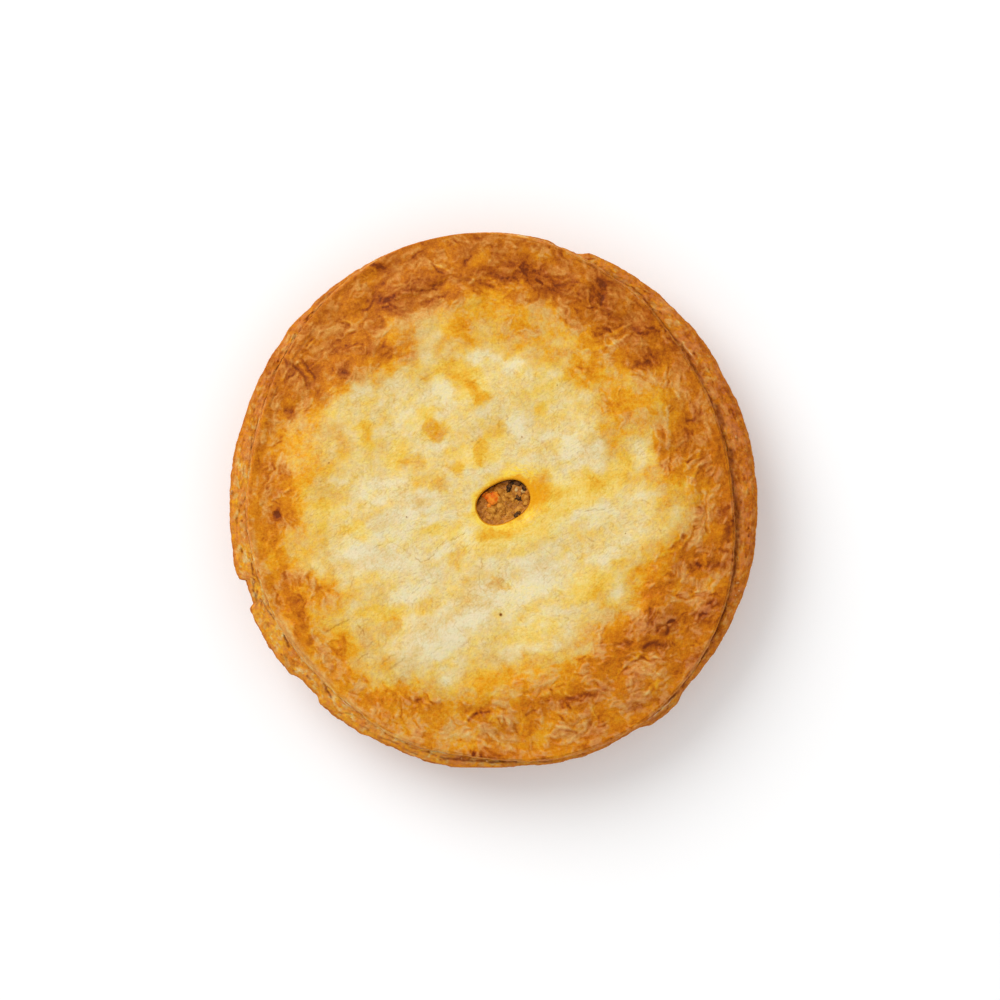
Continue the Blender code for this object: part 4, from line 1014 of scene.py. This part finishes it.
class Finish:
    """One material's nodes, added and joined by short calls."""

    def __init__(self, name, roughness, specular):
        self.material = bpy.data.materials.new(name)
        self.material.use_nodes = True
        self.nodes = self.material.node_tree.nodes
        self.links = self.material.node_tree.links
        self.shader = self.nodes["Principled BSDF"]
        self.shader.inputs["Roughness"].default_value = roughness
        self.shader.inputs["Specular IOR Level"].default_value = specular
        self.place = self.nodes.new("ShaderNodeTexCoord").outputs["Object"]

    def put(self, value, socket):
        """Joins another node's output to a socket, or sets the socket to a plain value."""
        if isinstance(value, bpy.types.NodeSocket):
            self.links.new(value, socket)
        else:
            socket.default_value = value

    def attribute(self, name):
        """A value that the mesh's points carry."""
        node = self.nodes.new("ShaderNodeAttribute")
        node.attribute_name = name
        return node.outputs["Fac"]

    def noise(self, size, detail, roughness=0.55, distortion=0.0):
        """Noise from 0 to 1 with features of that size in millimetres."""
        node = self.nodes.new("ShaderNodeTexNoise")
        self.links.new(self.place, node.inputs["Vector"])
        node.inputs["Scale"].default_value = 1.0 / (size * MM)
        node.inputs["Detail"].default_value = detail
        node.inputs["Roughness"].default_value = roughness
        node.inputs["Distortion"].default_value = distortion
        return node.outputs["Fac"]

    def math(self, operation, first, second):
        """The sum or the product of two values."""
        node = self.nodes.new("ShaderNodeMath")
        node.operation = operation
        self.put(first, node.inputs[0])
        self.put(second, node.inputs[1])
        return node.outputs[0]

    def range(self, value, low, high, to_low=0.0, to_high=1.0):
        """Maps a value's range onto another by a smooth step."""
        node = self.nodes.new("ShaderNodeMapRange")
        node.interpolation_type = "SMOOTHSTEP"
        self.put(value, node.inputs["Value"])
        ends = {"From Min": low, "From Max": high, "To Min": to_low, "To Max": to_high}
        for name, number in ends.items():
            node.inputs[name].default_value = number
        return node.outputs["Result"]

    def ramp(self, value, stops):
        """Colours along a value: each stop is a place from 0 to 1 and a colour."""
        node = self.nodes.new("ShaderNodeValToRGB")
        elements = node.color_ramp.elements
        while len(elements) > 1:
            elements.remove(elements[-1])
        for number, (place, colour) in enumerate(stops):
            element = elements[0] if number == 0 else elements.new(place)
            element.position = place
            element.color = colour
        self.put(value, node.inputs["Fac"])
        return node.outputs["Color"]

    def mix(self, share, first, second, blend="MIX"):
        """The first colour where the share is 0 and the second where it is 1."""
        node = self.nodes.new("ShaderNodeMix")
        node.data_type = "RGBA"
        node.blend_type = blend
        self.put(share, node.inputs["Factor"])
        self.put(first, node.inputs[6])
        self.put(second, node.inputs[7])
        return node.outputs[2]

    def bump(self, *heights):
        """Bumps laid over one another: each is a height from 0 to 1 and its depth in millimetres."""
        normal = None
        for height, depth in heights:
            node = self.nodes.new("ShaderNodeBump")
            node.inputs["Strength"].default_value = 1.0
            node.inputs["Distance"].default_value = depth * MM
            self.put(height, node.inputs["Height"])
            if normal is not None:
                self.links.new(normal, node.inputs["Normal"])
            normal = node.outputs["Normal"]
        self.links.new(normal, self.shader.inputs["Normal"])

    def colour(self, value):
        """Gives the surface its colour."""
        self.put(value, self.shader.inputs["Base Color"])


def crust_colour(finish, bake, cream, blush):
    """The crust's tones along the browning, once yellower and once creamier, mixed by the cream tint,
    and then warmed or cooled a little by the blush."""
    sides = []
    for side in (-1, 1):
        stops = []
        for place, red, green, blue, shift in CRUST_TONES:
            colour = tone(red + side * CREAM_RED * shift, green, max(0, blue + side * shift))
            stops.append((place, colour))
        sides.append(finish.ramp(bake, stops))
    base = finish.mix(finish.range(cream, -1.0, 1.0), *sides)
    tinge = finish.mix(finish.range(blush, -1.0, 1.0), GREENISH, PINKISH)
    base = finish.mix(1.0, base, tinge, "MULTIPLY")
    rosy = finish.range(blush, 0.35, 1.0, 0.0, ROSY_SHARE)
    rosy = finish.math("MULTIPLY", rosy, finish.range(bake, 0.3, 0.5))
    base = finish.mix(rosy, base, tone(*ROSY))
    return finish.mix(finish.range(cream, 1.35, 2.1), base, tone(*PALE_PINK))


def lid_finish():
    """Egg-washed pastry: the bake tint runs through the crust's tones, with fine mottling over it."""
    finish = Finish("lid_crust", roughness=0.5, specular=0.1)
    mottle = finish.noise(1.3, detail=4.0, roughness=0.6)
    speck = finish.noise(0.55, detail=2.0)
    worms = finish.noise(0.9, detail=2.0, distortion=1.2)
    bake = finish.attribute("bake")
    rough = finish.range(bake, 0.1, 0.5, 0.4, 1.0)
    change = finish.range(mottle, 0.3, 0.7, -0.05, 0.05)
    change = finish.math("ADD", change, finish.range(speck, 0.3, 0.7, -0.045, 0.045))
    change = finish.math("ADD", change, finish.range(worms, 0.35, 0.65, 0.03, -0.03))
    shifted = finish.math("ADD", bake, finish.math("MULTIPLY", change, rough))
    creamier = finish.range(mottle, 0.3, 0.7, 0.35, -0.35)
    creamier = finish.math("MULTIPLY", creamier, finish.range(bake, 0.15, 0.45, -0.7, 1.0))
    cream = finish.math("ADD", finish.attribute("cream"), creamier)
    base = crust_colour(finish, shifted, cream, finish.attribute("blush"))
    # Cracks, specks and dark strokes, and the painted shadow along the lid's edge that the strokes carry
    base = finish.mix(finish.attribute("shade"), base, tone(*CRACK_AND_SHADOW_BROWN))
    gold = finish.mix(finish.range(shifted, 0.08, 0.3), tone(*YOLK_PALE), tone(*YOLK_DEEP))
    base = finish.mix(finish.math("MULTIPLY", finish.attribute("yolk"), 0.9), base, gold)
    finish.colour(base)
    finish.bump((mottle, 0.22), (speck, 0.08), (worms, 0.12))
    return finish.material


def case_finish():
    """Drier, plainer pastry: gold above, more orange at the outer edge and pale below."""
    finish = Finish("case_crust", roughness=0.6, specular=0.1)
    mottle = finish.noise(2.4, detail=5.0, roughness=0.7)
    speck = finish.noise(0.7, detail=3.0, roughness=0.7)
    shifted = finish.math("ADD", finish.attribute("bake"), finish.range(mottle, 0.25, 0.75, -0.12, 0.12))
    shifted = finish.math("ADD", shifted, finish.range(speck, 0.3, 0.7, -0.07, 0.07))
    cream = finish.math("ADD", finish.attribute("cream"), finish.range(mottle, 0.3, 0.7, -0.4, 0.4))
    blush = finish.math("ADD", finish.attribute("blush"), finish.range(speck, 0.3, 0.7, -0.4, 0.5))
    base = crust_colour(finish, shifted, cream, blush)
    # Dark strokes and pits, with the painted shade beside the lid, in one brown
    finish.colour(finish.mix(finish.attribute("marks_and_shade"), base, tone(*MARKS_AND_SHADE_BROWN)))
    finish.bump((mottle, 0.4), (speck, 0.22))
    return finish.material


def gravy_finish():
    """Thick brown gravy, with painted shadow where the vent's upper-left wall shades it."""
    finish = Finish("gravy", roughness=0.35, specular=0.2)
    mottle = finish.noise(1.6, detail=4.0)
    base = finish.mix(finish.range(mottle, 0.35, 0.65), tone(*GRAVY_DARK), tone(*GRAVY_LIGHT))
    finish.colour(finish.mix(finish.attribute("painted_wall_shadow"), base, tone(*GRAVY_PAINTED_SHADOW)))
    finish.bump((mottle, 0.5))
    return finish.material


def food_finish(name, dark, light, roughness, size):
    """A piece of the filling or a crumb: two tones in noise."""
    finish = Finish(name, roughness=roughness, specular=0.1)
    mottle = finish.noise(size, detail=4.0)
    finish.colour(finish.mix(finish.range(mottle, 0.35, 0.65), tone(*dark), tone(*light)))
    finish.bump((mottle, 0.25))
    return finish.material


def make_piece(name, points, faces, material, tints=None):
    """A mesh of points in millimetres, kept within the frame's box, that rides on the pie's body."""
    low, high = np.array(CAD_LOW), np.array(CAD_HIGH)
    places = np.clip(points * MM, low + BOX_MARGIN, high - BOX_MARGIN)
    mesh = bpy.data.meshes.new(name)
    mesh.from_pydata(places, [], faces)
    mesh.update()
    for tint, values in (tints or {}).items():
        layer = mesh.attributes.new(tint, "FLOAT", "POINT")
        layer.data.foreach_set("value", np.ascontiguousarray(values, dtype=np.float32))
    mesh.materials.append(material)
    mesh.shade_smooth()
    piece = bpy.data.objects.new(name, mesh)
    bpy.context.scene.collection.objects.link(piece)
    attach(piece, "root")
    return piece


def ring_quads(rows, columns, closed):
    """Quads over a grid of closed rings. Closed also joins the last ring to the first."""
    index = np.arange(rows * columns).reshape(rows, columns)
    lower, upper = (index, np.roll(index, -1, axis=0)) if closed else (index[:-1], index[1:])
    after_lower, after_upper = np.roll(lower, -1, axis=1), np.roll(upper, -1, axis=1)
    return np.stack([lower, after_lower, after_upper, upper], axis=-1).reshape(-1, 4)


def capped_rings(rows, columns):
    """Quads over a grid of closed rings, and a flat face over the first ring and over the last."""
    faces = ring_quads(rows, columns, closed=False).tolist()
    faces.append(list(range(columns - 1, -1, -1)))
    faces.append(list(range((rows - 1) * columns, rows * columns)))
    return faces


def edge_bulge(depth):
    """How far a cut edge stands out on its way down, 0 at both ends and 1 at the middle, by a power."""
    return 1.0 - np.abs(2.0 * depth - 1.0) ** 2.4


def ragged_edge(angle, depth, rows):
    """The sum of an edge's ragged noises, over the direction and over the way down."""
    total = 0.0
    for wide, deep, height, seed in rows:
        total = total + height * lattice_noise(angle * wide, depth * deep, seed)
    return total


def lid_cut_edge(angle, top_z, top_tints):
    """The lid's cut edge from the top down: it rounds over and slopes outwards, with a bulge and grooves
    between its layers, ragged by noise. Its tints run from the top's own, through those of the rim as
    if it were rolled up the edge, to the rim's own at its foot."""
    depth = np.linspace(0.03, 1.0, CUT_EDGE_RINGS)[:, None]
    layer = 3.2 * depth + 0.6 * lattice_noise(angle * 9, depth * 2.0, 71)
    grooves = 1.0 - np.abs(np.sin(math.pi * layer))
    lower = smooth((depth - 0.25) / 0.35)
    bulge = edge_bulge(depth)
    edge = lid_radius(angle)
    slope = round_the_pie(EDGE_SLOPE, angle)
    swell = np.clip(0.8 - 0.25 * slope, 0.2, 0.8)
    stand = edge * LID_TOP_END + slope * depth + (swell + ragged_edge(angle, depth, LID_RAGGED)) * bulge
    stand -= (0.25 * swell + 0.3 * lower) * grooves * bulge**0.5
    stand = np.minimum(stand, rim_radius(angle) - RIM_SHOWS)
    foot = lid_underside(*polar(edge, angle))
    x, y = polar(stand, angle)
    z = top_z + (foot - FOOT_SINK - top_z) * depth**1.35
    below = rim_fields(stand - CUT_EDGE_ROLL * (1.0 - depth), angle)[1]
    streak = lattice_noise(angle * 34, depth * 6.0, 75)
    looks = (
        below["bake"] + (0.04 + 0.16 * lower) * grooves - 0.05 * lower + 0.08 * streak,
        np.minimum(below["cream"], 1.0) + 0.3 * lower - 0.8 * grooves + 0.4 * streak,
        below["blush"] + 0.3 + 0.3 * grooves + 0.3 * streak,
        0.0,
        0.7 * below["marks_and_shade"] + (0.08 + 0.25 * lower) * grooves,
    )
    blend = smooth((depth - 0.06) / 0.4)
    return (x, y, z), [top + (look - top) * blend for top, look in zip(top_tints, looks)]


def lid_ring(name, first, last, around, rows, finish):
    """One ring of the lid: its top from an inner share to an outer one, and its underside.

    The middle ring goes up the vent's wall and over its lip, the edge ring goes down the layered
    edge, and the other borders dive straight down, under the neighbour's top.
    """
    angle = np.linspace(0.0, 2.0 * math.pi, around, endpoint=False)
    outer_x, outer_y = polar(lid_radius(angle), angle)
    lip_x, lip_y = vent_outline(VENT_LIP, angle)
    wall_x, wall_y = vent_outline(0.0, angle)
    share = np.linspace(first, last, rows)[:, None]
    top_x = lip_x + (outer_x - lip_x) * share
    top_y = lip_y + (outer_y - lip_y) * share
    top_z, tints = lid_fields(top_x, top_y)
    blocks = [(top_x, top_y, top_z)]
    colours = [[tints[tint] for tint in LID_TINTS]]

    def dive(x, y):
        """Rows of points on the underside, in plain crust."""
        blocks.append((x, y, lid_underside(x, y)))
        colours.append(PLAIN_TINTS)

    if first == 0.0:
        rise, inset = np.array(VENT_WALL).T[:, :, None]
        vent_x = wall_x + (lip_x - wall_x) * inset
        vent_y = wall_y + (lip_y - wall_y) * inset
        floor = lid_underside(vent_x, vent_y)
        blocks.insert(0, (vent_x, vent_y, floor + (top_z[0] - floor) * rise))
        # The vent's wall runs from yolk at the lip to browner crust at its foot: painted shade deeper in
        # the hole
        colours.insert(0, (0.66 - 0.4 * rise, 0.0, 0.0, 0.4 + 0.6 * rise, 0.0))
    else:
        top_z -= LID_DIP * (1.0 - smooth((share - first) / LID_OVERLAP))
    if last == LID_TOP_END:
        block, cut_tints = lid_cut_edge(angle, top_z[-1], [tints[tint][-1] for tint in LID_TINTS])
        blocks.append(block)
        colours.append(cut_tints)
    else:
        top_z -= LID_DIP * smooth((share - last + LID_OVERLAP) / LID_OVERLAP)
        dive(top_x[-1:], top_y[-1:])
    inner = max(first, UNDERSIDE_INNER)
    inward = np.linspace(last, inner, UNDERSIDE_ROWS + 2)[1:-1, None] - 0.01
    dive(wall_x + (outer_x - wall_x) * inward, wall_y + (outer_y - wall_y) * inward)
    if first > 0.0:
        dive(top_x[:1], top_y[:1])

    x, y, z = (np.concatenate([block[k] for block in blocks]) for k in range(3))
    values = {}
    for k, tint in enumerate(LID_TINTS):
        parts = [colour[k] + 0.0 * block[0] for colour, block in zip(colours, blocks)]
        values[tint] = np.concatenate(parts).ravel()
    faces = ring_quads(*x.shape, closed=True)
    points = np.stack([x, y, z], axis=-1).reshape(-1, 3)
    return make_piece(name, points, faces, finish, values)


def wall_taper(height):
    """The case's wall without its dents: a straight taper from the base up."""
    return BASE_RADIUS + (WALL_TOP_RADIUS - BASE_RADIUS) / (RIM_TOP - RIM_THICKNESS) * height


def wall_radius(height, angle):
    """Outside of the case's wall: the taper with shallow dents that drift round."""
    dents = np.cos(11 * angle + 0.13 * height) + 0.7 * np.cos(17 * angle - 0.21 * height)
    return wall_taper(height) + WALL_DENT * dents * smooth(height / 8.0)


def inside_radius(height):
    """Inside of the case's wall, which keeps one thickness of crust."""
    return np.minimum(wall_taper(height), WALL_TOP_RADIUS) - CRUST


def rim_fields(radius, angle):
    """Relief and tints of the rim's upper face.

    The dark strokes and pale lines are drawn over flaky streaks that run round the rim: tan, orange
    and olive ones, each where a smeared noise is high. A narrow dip lies beside the lid, with painted
    shade in it where the lid's edge is not pressed in; the dark strokes are partly painted shadow too.
    """
    x, y = polar(radius, angle)
    beyond = radius - lid_radius(angle)
    rim_gap = rim_radius(angle) - radius
    dark, pale = edge_marks(x, y)
    flow = angle + 0.5 * math.pi + 1.3 * noise(x, y, 5, 82)
    streak = strokes(x, y, flow, 1.1, 2.6, 320)
    broad = strokes(x, y, flow, 1.7, 3.6, 322)
    spot = noise(x, y, 1.6, 96) + 0.5 * noise(x, y, 0.9, 97)
    blob = noise(x, y, 3, 98)
    orange = smooth((0.5 * streak + 0.9 * noise(x, y, 2.2, 100) - 0.25) / 0.3)
    tan = smooth((0.5 * broad + 0.9 * blob - 0.05) / 0.35) * (1.0 - orange)
    pits = smooth((-0.5 * streak - 0.8 * spot - 0.6) / 0.45)
    outer = smooth((4.0 - rim_gap) / 3.5)
    pressed = smooth((round_the_pie(EDGE_SLOPE, angle) - 0.7) / 0.8)
    dip_and_shade_by_lid = np.exp(-((np.clip(beyond, 0.0, None) / 0.7) ** 4)) * (1.0 - pressed)
    relief = 0.25 * streak + 0.2 * spot + 0.2 * blob - 0.3 * pits
    relief += 0.2 * pale - 0.3 * dark - 0.2 * dip_and_shade_by_lid
    bake = round_the_pie(RIM_BROWN, angle) + 0.05 * outer + 0.14 * cloud(x, y, 9, 2, 85)
    bake += 0.13 * pits - 0.15 * tan - 0.05 * streak - 0.15 * pale + 0.07 * noise(x, y, 1.1, 99)
    # Darker within the last millimetre of the outline: painted shade where the edge rounds over
    bake += 0.2 * smooth((0.8 - rim_gap) / 0.7)
    cream = np.clip(-0.1 - 0.3 * outer + 1.2 * tan - 0.9 * orange, -1.0, 1.0)
    cream = np.maximum(cream, 2.8 * pale - 0.7)
    blush = 0.9 * noise(x, y, 2.6, 113) + 0.6 * noise(x, y, 1.2, 114) + 0.9 * noise(x, y, 6, 116)
    blush += 0.3 + 0.3 * orange - 0.6 * pits + 1.1 * pale
    # Dark strokes and dark pits, with the painted shade beside the lid, in one brown tint
    marks_and_shade = 0.92 * dark + 0.2 * dip_and_shade_by_lid + 0.2 * pits
    return relief, {"bake": bake, "cream": cream, "blush": blush, "marks_and_shade": marks_and_shade}


def case_piece():
    """The case: rings from the middle of its base up the wall, round the layered edge of the rim, over
    its upper face and down inside."""
    angle = np.linspace(0.0, 2.0 * math.pi, CASE_AROUND, endpoint=False)
    edge = rim_radius(angle)
    ones = np.ones_like(angle)
    rings = []

    def add(radius, height, bake, cream=0.0, blush=0.0, marks_and_shade=0.0):
        """One ring and its tints, each a single value or one for every direction."""
        rings.append([value * ones for value in (radius, height, bake, cream, blush, marks_and_shade)])

    def mottled(radius, height):
        """Broad browner and paler clouds, which run on from the base up the wall."""
        x, y = polar(radius + height, angle)
        return 0.1 * cloud(x + 0.8 * height, y, 26.0, 2, 117)

    # Base, a little browner towards its rounded corner
    for share in np.linspace(0.02, 0.97, BASE_RINGS):
        radius = (BASE_RADIUS - BASE_CORNER) * share
        add(radius, 0.0, 0.4 + 0.1 * share**3 + mottled(radius, 0.0), 0.2)
    for share in np.linspace(0.0, 1.0, CORNER_RINGS):
        radius = BASE_RADIUS - BASE_CORNER * (1.0 - math.sin(0.5 * math.pi * share))
        height = BASE_CORNER * (1.0 - math.cos(0.5 * math.pi * share))
        bake = 0.5 + 0.08 * share + mottled(radius, height)
        add(wall_radius(height, angle) - BASE_RADIUS + radius, height, bake)

    # Wall, with low pocks where bubbles pressed on the tin
    underside = RIM_TOP - RIM_THICKNESS
    for height in np.linspace(5.0, underside - 1.6, WALL_RINGS):
        pocks = 0.3 * lattice_noise(angle * 30, height / 3.5, 91)
        radius = wall_radius(height, angle) + np.minimum(pocks, 0.12)
        add(radius, height, 0.56 + 0.05 * pocks + mottled(radius, height))
    add(wall_radius(underside, angle) + 1.5, underside - 0.3, 0.5)

    # Layered edge, from below up
    drop = rim_top(edge, angle)
    wilder = 1.0 + WILD_SHARE * np.exp(-((turn_between(angle, WILD_DIRECTION) / WILD_WIDTH) ** 4))
    for depth in np.linspace(1.0, 0.0, RIM_EDGE_RINGS):
        bulge = edge_bulge(depth)
        layer = 0.5 + 3.6 * depth + 0.8 * smooth(depth / 0.3) * lattice_noise(angle * 8, depth * 2.0, 92)
        grooves = np.abs(np.sin(math.pi * layer))
        ragged = ragged_edge(angle, depth, RIM_RAGGED) * wilder
        streak = lattice_noise(angle * 70, depth * 4, 115)
        stand = edge - RIM_CURL + 2.45 * bulge - 0.6 * (1.0 - grooves) + ragged * bulge
        own = (0.72 - 0.18 * grooves + 0.16 * streak, 0.3 * grooves - 0.6 * streak, 0.8 * streak, 0.0)
        above = rim_fields(stand, angle)[1]
        blend = smooth((depth - 0.08) / 0.3)
        looks = [above[tint] + (look - above[tint]) * blend for tint, look in zip(CASE_TINTS, own)]
        add(stand, drop - RIM_EDGE_DEPTH * depth, *looks)

    # Upper face of the rim, from the edge in
    inner = WALL_TOP_RADIUS - CRUST
    for share in np.linspace(0.985, 0.08, RIM_TOP_RINGS) ** 0.6:
        radius = inner + (edge - RIM_CURL - inner) * share
        relief, tints = rim_fields(radius, angle)
        settle = smooth((radius - lid_radius(angle)) / 0.5) * smooth((edge - radius) / 2.0)
        add(radius, rim_top(radius, angle) + relief * settle, *(tints[tint] for tint in CASE_TINTS))

    # Inside wall and floor, which the filling hides
    add(inner, rim_top(inner, angle) - 1.0, 0.3)
    for height in (underside, CRUST + 2.0):
        add(inside_radius(height), height, 0.25)
    add(inside_radius(CRUST) - 2.0, CRUST, 0.25)
    add(2.0, CRUST, 0.25)

    grid = np.array(rings)
    x, y = polar(grid[:, 0, :], angle)
    points = np.stack([x, y, grid[:, 1, :]], axis=-1).reshape(-1, 3)
    faces = capped_rings(len(rings), CASE_AROUND)
    tints = {tint: grid[:, k + 2, :].ravel() for k, tint in enumerate(CASE_TINTS)}
    piece = make_piece("case", points, faces, case_finish(), tints)
    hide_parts("pastry_case")


def filling_top(x, y):
    """Top of the filling: under the lid all over, and standing up in the vent with a lumpy face that
    climbs the wall at the lower right."""
    under = lid_underside(x, y) - 2 * GAP
    centre = (np.array([VENT_CENTRE[0]]), np.array([VENT_CENTRE[1]]))
    level = lid_underside(*centre)[0] + LID_MIDDLE - FILLING_DROP
    lumps = 0.5 * noise(x, y, 2.2, 101) + 0.3 * noise(x, y, 1.1, 102)
    share = vent_share(x, y)
    side = 0.5 - 0.5 * np.cos(vent_direction(x, y) - math.radians(135))
    climb = (2.3 * side - 0.9 * (1.0 - side)) * smooth((share - 0.7) / 0.3)
    return np.where(share < 1.02, level + lumps - 0.2 + climb, under)


def filling_piece():
    """The filling's core: rings from its base up the case's wall, over its top and into the vent."""
    angle = np.linspace(0.0, 2.0 * math.pi, FILLING_AROUND, endpoint=False)
    ones = np.ones_like(angle)
    rows = []

    def add(x, y, z):
        """One ring of points."""
        rows.append(np.stack([x, y, z * ones], axis=-1))

    add(*polar(2.0, angle), CRUST + GAP)
    add(*polar(inside_radius(CRUST) - 3.0, angle), CRUST + GAP)
    for height in (CRUST + 2.2, RIM_TOP - RIM_THICKNESS, RIM_TOP - 3.0):
        add(*polar(inside_radius(height) - 2 * GAP, angle), height)
    outer = inside_radius(RIM_TOP) - 2.5
    for share in (1.0, 0.95, 0.89, 0.82, 0.75, 0.5):
        x, y = polar(outer * share, angle)
        add(x, y, filling_top(x, y))
    rim_x, rim_y = vent_outline(0.08, angle)
    add(rim_x, rim_y, lid_underside(rim_x, rim_y) - 2 * GAP)
    for share in np.linspace(1.0, 0.03, VENT_FLOOR_RINGS):
        x = VENT_CENTRE[0] + (rim_x - VENT_CENTRE[0]) * share
        y = VENT_CENTRE[1] + (rim_y - VENT_CENTRE[1]) * share
        add(x, y, filling_top(x, y))
    points = np.concatenate(rows)
    turn = vent_direction(points[:, 0], points[:, 1])
    # Painted shadow on the filling beside the vent's upper-left wall, on the side away from the light
    painted_wall_shadow = smooth((vent_share(points[:, 0], points[:, 1]) - 0.88) / 0.1)
    painted_wall_shadow *= smooth((np.cos(turn - math.radians(112)) - 0.1) / 0.5)
    faces = capped_rings(len(rows), FILLING_AROUND)
    piece = make_piece("gravy", points, faces, gravy_finish(), {"painted_wall_shadow": painted_wall_shadow})
    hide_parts("turkey_filling")


def lump_points(size, square, lumpy, seed, grid):
    """A lump: a ball pushed towards a box by a power of its cosines, roughened by noise."""
    rows, columns = grid
    tilt = np.linspace(0.04, math.pi - 0.04, rows)[:, None]
    turn = np.linspace(0.0, 2.0 * math.pi, columns, endpoint=False)[None, :]

    def power(value):
        """The value's size to a power, with its sign kept."""
        return np.sign(value) * np.abs(value) ** square

    x = power(np.sin(tilt)) * power(np.cos(turn))
    y = power(np.sin(tilt)) * power(np.sin(turn))
    z = power(np.cos(tilt)) + 0 * turn
    rough = 1.0 + lumpy * lattice_noise(2.2 * x + 7.3 * seed, 2.2 * y + 1.7 * z, 111)
    points = np.stack([x * rough * size[0], y * rough * size[1], z * rough * size[2]], axis=-1) / 2.0
    return points.reshape(-1, 3), [face[::-1] for face in capped_rings(rows, columns)]


def lumps_piece(name, lumps, material, square, lumpy, grid):
    """Several lumps in one mesh: each one's middle, size, turn and tilt in degrees, and seed."""
    all_points, all_faces, start = [], [], 0
    for cx, cy, cz, size, spin, tilt, seed in lumps:
        points, faces = lump_points(size, square, lumpy, seed, grid)
        x, y, z = points.T
        x, z = turned(x, z, -tilt)
        x, y = turned(x, y, spin)
        all_points.append(np.stack([x + cx, y + cy, z + cz], axis=-1))
        all_faces.extend([[corner + start for corner in face] for face in faces])
        start += len(points)
    make_piece(name, np.concatenate(all_points), all_faces, material)


def turkey_rows():
    """Crumbs of turkey all over the vent's floor, by a seeded rule that skips the larger pieces."""
    chance = np.random.default_rng(TURKEY_SEED)
    rows = []
    taken = [(a, c, 0.5 * size[0]) for a, c, _, size, _, _ in CARROT + MUSHROOM + ONION]
    while len(rows) < TURKEY_CRUMBS:
        along, across = chance.uniform(-11.0, 11.0), chance.uniform(-7.8, 7.8)
        length = chance.uniform(*TURKEY_LENGTH)
        size = (length, length * chance.uniform(0.55, 0.85), length * chance.uniform(0.45, 0.7))
        spin, tilt, lift = chance.uniform(0, 180), chance.uniform(-20, 20), chance.uniform(-1.0, -0.5)
        reach = 0.8 if across > 1.0 or along < -7.0 else 1.0
        if (abs(along) / TURKEY_OVAL[0]) ** 2.2 + (abs(across) / TURKEY_OVAL[1]) ** 2.2 > reach**2.2:
            continue
        if any(math.hypot(along - a, across - c) < 0.8 * r for a, c, r in taken):
            continue
        rows.append((along, across, lift, size, spin, tilt))
    return rows


def vent_contents():
    """The pieces that show in the vent, one mesh for each kind, each piece set on the filling's top."""
    kinds = (turkey_rows(), CARROT, MUSHROOM, ONION)
    for (name, food, dark, light, roughness, size, square, lumpy), rows in zip(VENT_FOODS, kinds):
        lumps = []
        for seed, (along, across, lift, extent, spin, tilt) in enumerate(rows, 1):
            cx, cy = from_vent(along, across)
            level = filling_top(np.array([cx]), np.array([cy]))[0]
            lumps.append((cx, cy, level + lift, extent, spin + VENT_TURN, tilt, seed))
        finish = food_finish(food, dark, light, roughness, size)
        lumps_piece(name, lumps, finish, square, lumpy, LUMP_GRID)


def crumbs_piece():
    """The crumbs in one mesh, each set on the rim's own surface and sunk into it by a third."""
    lumps = []
    for seed, (direction, beyond, size, spin, tilt) in enumerate(CRUMBS, 3):
        angle = np.array([math.radians(direction)])
        radius = lid_radius(angle) + beyond
        height = rim_top(radius, angle) + rim_fields(radius, angle)[0] + CRUMB_STAND * size[2]
        x, y = polar(radius, angle)
        lumps.append((x[0], y[0], height[0], size, spin + direction, tilt, seed))
    flaky = food_finish("crumb_crust", CRUMB_DARK, CRUMB_LIGHT, 0.6, 1.2)
    lumps_piece("rim_crumbs", lumps, flaky, 0.8, 0.35, CRUMB_GRID)


def floor_and_light():
    """A plain near-white floor, one large soft light from the upper left and an even sky."""
    mesh = bpy.data.meshes.new("floor")
    corners = [(x * FLOOR_HALF, y * FLOOR_HALF, 0) for x, y in ((-1, -1), (1, -1), (1, 1), (-1, 1))]
    mesh.from_pydata(corners, [], [(0, 1, 2, 3)])
    paint = bpy.data.materials.new("floor_white")
    paint.use_nodes = True
    shader = paint.node_tree.nodes["Principled BSDF"]
    shader.inputs["Base Color"].default_value = FLOOR_WHITE
    shader.inputs["Roughness"].default_value = 0.9
    mesh.materials.append(paint)
    floor = bpy.data.objects.new("floor", mesh)
    bpy.context.scene.collection.objects.link(floor)

    light = bpy.data.lights.new("window", "AREA")
    light.shape = "DISK"
    light.size = WINDOW_SIZE
    light.energy = WINDOW_POWER
    lamp = bpy.data.objects.new("window", light)
    lamp.location = WINDOW_PLACE
    aim = -lamp.location.normalized()
    lamp.rotation_euler = aim.to_track_quat("-Z", "Y").to_euler()
    bpy.context.scene.collection.objects.link(lamp)

    world = bpy.data.worlds.new("sky")
    world.use_nodes = True
    sky = world.node_tree.nodes["Background"]
    sky.inputs["Color"].default_value = (1.0, 1.0, 1.0, 1.0)
    sky.inputs["Strength"].default_value = SKY_STRENGTH
    bpy.context.scene.world = world
    bpy.context.scene.view_settings.view_transform = "Standard"


def set_camera():
    """Straight above, as far away as shows the rim's edge at the photograph's size, in its place."""
    data = bpy.data.cameras.new("camera")
    data.lens = LENS
    data.sensor_width = SENSOR
    distance = PIXELS * MM_PER_PIXEL * LENS / SENSOR
    camera = bpy.data.objects.new("camera", data)
    across = (PIXELS / 2 - PIE_PIXEL[0]) * MM_PER_PIXEL
    up = (PIE_PIXEL[1] - PIXELS / 2) * MM_PER_PIXEL
    camera.location = (across * MM, up * MM, (distance + RIM_TOP - 0.5 * RIM_THICKNESS) * MM)
    bpy.context.scene.collection.objects.link(camera)
    bpy.context.scene.camera = camera


set_camera()
floor_and_light()
case_piece()
lid_material = lid_finish()
lid_rings = [lid_ring(*ring, lid_material) for ring in LID_RINGS]
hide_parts("pastry_lid")
filling_piece()
vent_contents()
crumbs_piece()
